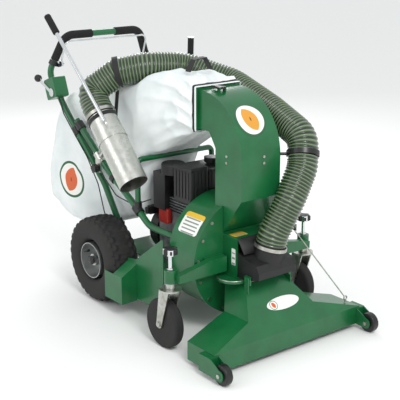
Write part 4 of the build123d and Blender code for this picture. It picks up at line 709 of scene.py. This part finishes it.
# %% [markdown]
# Labels are thin films stuck on sheet steel. A flat one is a rounded rectangle on a plane, and
# the one on the fan's scroll bends round it. Both are grids over (across, up), each from -1 to 1,
# with the corners drawn in, and lie 0.4 mm off the paint.

# %% Labels
film = 0.4 * mm


def label(name, place, material, body, half_w, half_h, corner=0.18):
    """place(across, up) maps metres on the label to points in the frame."""
    s = np.linspace(-1, 1, 21)
    across, up = np.meshgrid(s, s)
    squeeze = 1 - corner * np.clip((np.abs(up) - 0.8) / 0.2, 0, 1) ** 2
    grid = place(across * squeeze * half_w, up * half_h)
    uv = np.stack([(across + 1) / 2, (up + 1) / 2], -1)
    piece = grid_piece(name, grid, material, body, uv=uv)
    return piece


def on_plane(centre, across_dir, up_dir):
    """Flat placing: centre + across * a + up * b."""
    a, b = np.array(Vector(across_dir).normalized()), np.array(Vector(up_dir).normalized())
    outward_dir = np.cross(a, b) * film
    return lambda across, up: np.array(centre) + across[..., None] * a + up[..., None] * b + outward_dir


def on_drum(axis_y, axis_z, radius, at_angle, at):
    """On a drum about X: up runs round it from at_angle above the front, across runs along X."""
    def place(across, up):
        angle = at_angle + up / radius
        return np.stack([at + across, axis_y - (radius + film) * np.cos(angle),
                         axis_z + (radius + film) * np.sin(angle)], -1)
    return place


def on_scroll(axis_z, radius, at_angle, at_y):
    """On a drum about Y: across runs along Y, up runs round it towards the top."""
    def place(across, up):
        angle = at_angle - up / radius
        return np.stack([(radius + film) * np.cos(angle), at_y + across,
                         axis_z + (radius + film) * np.sin(angle)], -1)
    return place


fan_z, scroll_r = 320 * mm, 240 * mm
on_top = on_plane((-58 * mm, -448 * mm, 430 * mm), (1, 0, 0), (0, 1, 0))
on_side = on_plane((-100 * mm, -468 * mm, 350 * mm), (0, -1, 0), (0, 0, 1))
labels = [
    label("scroll_label", on_scroll(fan_z, scroll_r, math.radians(142), -312 * mm), white_label,
          "chassis", 58 * mm, 46 * mm),
    label("intake_top_label", on_top, yellow_label, "chassis", 34 * mm, 22 * mm),
    label("intake_side_label", on_side, plain_label, "chassis", 12 * mm, 34 * mm),
]
print("labels made:", len(labels))

# %% [markdown]
# The elbow's front carries a round emblem. Its film bends round the elbow's drum, so it is a disc
# of polar points, radius by angle, laid on the same drum mapping. Its print is read from its UV.

# %% Round emblem
elbow_y, elbow_z, elbow_r = -260 * mm, 735 * mm, 250 * mm
emblem_r = 74 * mm
emblem_ink, emblem_tree, emblem_shader, _ = start_material(
    "vinyl_emblem", "#f2f1ea", 0.25, Coat_Weight=0.3)
emblem_uv = add_node(emblem_tree, "ShaderNodeTexCoord").outputs["UV"]
emblem_colour = leaf_print(
    emblem_tree, emblem_uv, linear("#1c5a33"), (0, 0, 0), emblem_r, (1, 1, 0), (0.94, 0.34, 0), "#d9972b")
emblem_tree.links.new(emblem_colour, emblem_shader.inputs["Base Color"])
ring_r = np.linspace(0.002, 1, 20)[:, None] * emblem_r
ring_a = np.linspace(0, 2 * np.pi, 72, endpoint=False)[None, :]
disc_x, disc_up = ring_r * np.cos(ring_a), ring_r * np.sin(ring_a)
emblem_angle = math.asin((890 * mm - elbow_z) / elbow_r)
emblem_grid = on_drum(elbow_y, elbow_z, elbow_r, emblem_angle, -12 * mm)(disc_x, disc_up)
emblem = grid_piece("round_emblem", emblem_grid, emblem_ink, "chassis", wrap_columns=True,
                    uv=np.stack([disc_x, disc_up], -1))
print("emblem at", emblem_grid.reshape(-1, 3).mean(0).round(3))

# %% [markdown]
# The nozzle's ramp carries an oval label, pale with a leaf at one end. It is the same disc of
# polar points stretched along x and laid on the ramp's own plane, from knee to top.

# %% Oval nozzle label
knee, ramp_top = np.array([0, -645, 150]) * mm, np.array([0, -543, 256]) * mm
ramp_up = (ramp_top - knee) / np.linalg.norm(ramp_top - knee)
oval_half_w, oval_half_h = 84 * mm, 27 * mm
oval_x, oval_up = disc_x / emblem_r * oval_half_w, disc_up / emblem_r * oval_half_h
oval_at = knee + ramp_up * 34 * mm + np.array([28 * mm, 0, 0])
oval_ink, oval_tree, oval_shader, _ = start_material(
    "vinyl_oval", "#eceee8", 0.25, Coat_Weight=0.3)
oval_uv = add_node(oval_tree, "ShaderNodeTexCoord").outputs["UV"]
oval_colour = leaf_print(
    oval_tree, oval_uv, linear("#eceee8"), (-50 * mm, 0, 0), 20 * mm, (1, 1, 0), (0.94, 0.34, 0), "#d6612c")
oval_tree.links.new(oval_colour, oval_shader.inputs["Base Color"])
oval = grid_piece("oval_label", on_plane(oval_at, (1, 0, 0), ramp_up)(oval_x, oval_up), oval_ink, "nozzle",
                  wrap_columns=True, uv=np.stack([oval_x, oval_up], -1))
print("oval label at", oval_at.round(3))

# %% [markdown]
# The boot's upper lip is a rubber apron that closes the intake box above it. It is a curved sheet
# from the box's top edge down to the boot: a parabola swells it forward between the two edges.

# %% Boot apron
apron_half_w, apron_taper = 99, 6
apron_y, apron_lean, apron_swell = -489, 34, 12
apron_top, apron_height = 428, 58
across = np.linspace(-1, 1, 41)[None, :]
down = np.linspace(0, 1, 25)[:, None]
swelling = 4 * down * (1 - down) * (1 - across ** 4)
apron_grid = np.stack(np.broadcast_arrays(
    across * (apron_half_w - apron_taper * down) * mm,
    (apron_y - apron_lean * down - apron_swell * swelling) * mm,
    (apron_top - apron_height * down) * mm), -1)
apron = grid_piece("boot_apron", apron_grid, boot_rubber, "chassis")
finish_with(apron, "SOLIDIFY", thickness=3 * mm, offset=-1)
print("apron height", apron_height, "mm")

# %% [markdown]
# Black sleeves and knobs slip over bright levers and rods. A sleeve is a tube with domed ends, a
# profile turned about the rod's own line. Each rides on the lever that carries it.

# %% Grips and knobs
def sleeve(name, start, end, radius, body):
    """Closed sleeve: full radius between ends that round off as a quarter circle."""
    start, end = np.array(start) * mm, np.array(end) * mm
    length = np.linalg.norm(end - start) / mm
    bend = np.linspace(0, np.pi / 2, 7)
    nose = [(radius - 4 + 4 * math.sin(a), 4 - 4 * math.cos(a)) for a in bend]
    profile = [(0.01, 0), *nose, *[(r, length - d) for r, d in reversed(nose)], (0.01, length)]
    return turned(name, profile, start, (end - start) / mm, foam, body)


rod_foot, rod_end = np.array([-350, 52, 842.5]), np.array([-350, 481, 1228.6])
rod_dir = (rod_end - rod_foot) / np.linalg.norm(rod_end - rod_foot)
sleeve("wand_grip_sleeve", rod_end - rod_dir * 97, rod_end + rod_dir * 3, 14.8, "chassis")
lever_low, lever_high = (np.array(corner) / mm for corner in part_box("height_lever"))
lever_x = (lever_low[0] + lever_high[0]) / 2
lever_foot, lever_top = np.array([lever_x, 256, 590]), np.array([lever_x, 232, 1118])
lever_dir = (lever_top - lever_foot) / np.linalg.norm(lever_top - lever_foot)
lever_r = (lever_high[0] - lever_low[0]) / 2 + 0.8
sleeve("height_lever_sleeve", lever_top - lever_dir * 97, lever_top + lever_dir * 2, lever_r, "height_lever")
turn_a = np.linspace(0, 2 * np.pi, 48, endpoint=False)[None, :]
rise_a = np.linspace(-np.pi / 2, np.pi / 2, 25)[:, None]
knob_centre = np.array([-288, 700, 930])
shift_knob_r = 17.6
knob_grid = (knob_centre + shift_knob_r * np.stack(np.broadcast_arrays(
    np.cos(rise_a) * np.cos(turn_a), np.cos(rise_a) * np.sin(turn_a), np.sin(rise_a)), -1)) * mm
shift_knob = grid_piece("shift_knob", knob_grid, black_plastic, "shift_lever", wrap_columns=True)
star_r, lobe, lobes = 27.5, 3.2, 6
star_x, star_y, star_z = 354, -392, 394.3
star = star_r + lobe * np.cos(lobes * turn_a)
for side, sign in (("right", -1), ("left", 1)):
    level = np.array([0.0, 2.0, 6.0, 20.0, 24.5, 26.0, 26.0])[:, None]
    share = np.array([0.75, 0.9, 1.0, 1.0, 0.9, 0.72, 0.001])[:, None]
    knob_grid = np.stack(np.broadcast_arrays(
        sign * star_x + share * star * np.cos(turn_a), star_y + share * star * np.sin(turn_a),
        star_z + level), -1) * mm
    knob = grid_piece(side + "_star_knob", knob_grid, black_plastic, side + "_height_screw",
                      wrap_columns=True)
print("lever grip radius", round(float(lever_r), 1), "mm")

# %% [markdown]
# The gate's round end is edged with bright wire, a thin tube carried along half a circle.

# %% Gate edge
gate_wire_x, gate_wire_y, gate_wire_z = -109.4, -476.8, 274.5
gate_wire_r, wire_thick_r = 64, 2.6
wire_steps, wire_around = 40, 12
sweep_a = np.linspace(math.radians(92), math.radians(268), wire_steps)
wire_line = np.stack([gate_wire_x + gate_wire_r * np.cos(sweep_a),
                      gate_wire_y + gate_wire_r * np.sin(sweep_a),
                      np.full(wire_steps, gate_wire_z)], 1) * mm
wire_points, _ = carried(wire_line, np.full((wire_steps, wire_around), wire_thick_r * mm), wire_around)
grid_piece("gate_edge_wire", wire_points, zinc, "gate", wrap_columns=True)
print("gate wire length", round(float(sweep_a[-1] - sweep_a[0]) * gate_wire_r * mm, 3), "m")

# %% [markdown]
# The engine has a red plastic cover on its side. It is a shell with rounded edges, a box whose
# corners follow a superellipsoid, so it catches a soft highlight as a moulding does. The
# muffler's guard has ribs of the same form, five on each of two faces.

# %% Red side cover
def rounded_box(name, centre, half, power, material, body):
    """Superellipsoid: each axis is sign(c) |c|^power of the sphere's own x, y and z."""
    u = np.linspace(-np.pi / 2, np.pi / 2, 40)[:, None]
    w = np.linspace(-np.pi, np.pi, 72, endpoint=False)[None, :]
    raised = lambda value: np.sign(value) * np.abs(value) ** power
    grid = np.stack(np.broadcast_arrays(
        centre[0] + half[0] * raised(np.cos(u)) * raised(np.cos(w)),
        centre[1] + half[1] * raised(np.cos(u)) * raised(np.sin(w)),
        centre[2] + half[2] * raised(np.sin(u))), -1)
    piece = grid_piece(name, grid, material, body, wrap_columns=True)
    return piece


rounded_box("red_side_cover", np.array([-105, -20, 415]) * mm, np.array([10, 34, 33]) * mm, 0.28,
            red_plastic, "chassis")
muffler_ribs, side_pitch, front_pitch, rib_z = 5, 21, 18, 585
for n in range(muffler_ribs):
    rounded_box(f"muffler_rib_{n}", np.array([-124.5, -207 + side_pitch * n, rib_z]) * mm,
                np.array([3, 5, 58]) * mm, 0.3, black_paint, "chassis")
    rounded_box(f"muffler_front_rib_{n}", np.array([-112 + front_pitch * n, -221.5, rib_z]) * mm,
                np.array([5, 3, 58]) * mm, 0.3, black_paint, "chassis")

# %% [markdown]
# Two control cables leave the box on the handlebar, drop along the frame and end at the engine
# and the gear case. Each is a sheathed wire 5 mm across, fixed at both ends, swept on a rounded
# line with some slack in its run.

# %% Control cables
cable_routes = {
    "throttle_cable": [(-246, 560, 862), (-240, 535, 800), (-226, 470, 735), (-214, 380, 640),
                       (-212, 290, 540), (-206, 200, 470), (-170, 120, 440), (-120, 60, 470)],
    "drive_cable": [(-256, 575, 852), (-250, 548, 785), (-236, 490, 705), (-226, 400, 610),
                    (-222, 320, 500), (-222, 275, 380), (-200, 250, 290), (-120, 240, 240)],
}
cable_r, cable_bend, cable_around = 2.5 * mm, 60 * mm, 10
for name, route in cable_routes.items():
    bends = [cable_bend] * (len(route) - 2)
    cable_line, cable_run = rounded_line(np.array(route) * mm, bends, 5 * mm)
    cable_points, _ = carried(
        cable_line, np.full((len(cable_line), cable_around), cable_r), cable_around)
    cable = grid_piece(name, cable_points, black_plastic, "chassis", wrap_columns=True)
    print(name, round(float(cable_run[-1]), 3), "m")

# %% [markdown]
# The frame arrives flat shaded. Smooth shading with creases kept above 28 degrees makes tubes
# and drums round and leaves folded sheet crisp, and it moves no vertex.

# %% Smooth shading on the frame
crease = math.radians(28)
for node in frame["nodes"].values():
    if not node.hide_render:
        node.data.shade_smooth()
        node.data.set_sharp_from_angle(angle=crease)
print("frame shaded")

# %% [markdown]
# The studio is a pale floor and three soft lamps: a large key from the front left, a fill from
# the right and a low light from behind that draws the bag's edge. The camera is far away with a
# long lens, at the height of a standing person.

# %% Studio
floor_mesh = bpy.data.meshes.new("studio_floor")
reach = 60.0
floor_mesh.from_pydata([(-reach, -reach, 0), (reach, -reach, 0), (reach, reach, 0), (-reach, reach, 0)], [],
                       [(0, 1, 2, 3)])
floor = bpy.data.objects.new("studio_floor", floor_mesh)
bpy.context.scene.collection.objects.link(floor)
floor_mesh.materials.append(start_material("pale_floor", "#f4f4f2", 0.9)[0])

world = bpy.data.worlds.new("studio")
bpy.context.scene.world = world
world.use_nodes = True
world.node_tree.nodes["Background"].inputs["Color"].default_value = linear("#f6f8fa")
world.node_tree.nodes["Background"].inputs["Strength"].default_value = 0.95


def softbox(name, at, power, size):
    """A square lamp that faces the machine's middle."""
    lamp = bpy.data.objects.new(name, bpy.data.lights.new(name, "AREA"))
    lamp.data.energy, lamp.data.size = power, size
    lamp.location = at
    lamp.rotation_euler = (Vector((0, 0, 0.55)) - Vector(at)).to_track_quat("-Z", "Y").to_euler()
    bpy.context.scene.collection.objects.link(lamp)


softbox("key", (-1.2, -3.6, 3.6), 92, 1.3)
softbox("fill", (-3.4, 0.4, 2.2), 16, 1.6)
softbox("rim", (2.0, 3.2, 2.6), 40, 1.8)

# %% [markdown]
# The camera's place is given in millimetres from the frame's origin, and its direction by the
# turn and the height of the view.

# %% Camera
turn, rise = math.radians(-38.28), math.radians(16.22)
forward = Vector((-math.sin(turn) * math.cos(rise), math.cos(turn) * math.cos(rise), -math.sin(rise)))
camera = bpy.data.objects.new("camera", bpy.data.cameras.new("camera"))
camera.location = Vector((-2445, -3226, 1636)) * mm
camera.rotation_euler = forward.to_track_quat("-Z", "Y").to_euler()
focal_over_width = 972.2 / 400
camera.data.sensor_width = 36
camera.data.lens = camera.data.sensor_width * focal_over_width
bpy.context.scene.collection.objects.link(camera)
bpy.context.scene.camera = camera
bpy.context.scene.view_settings.view_transform = "Standard"
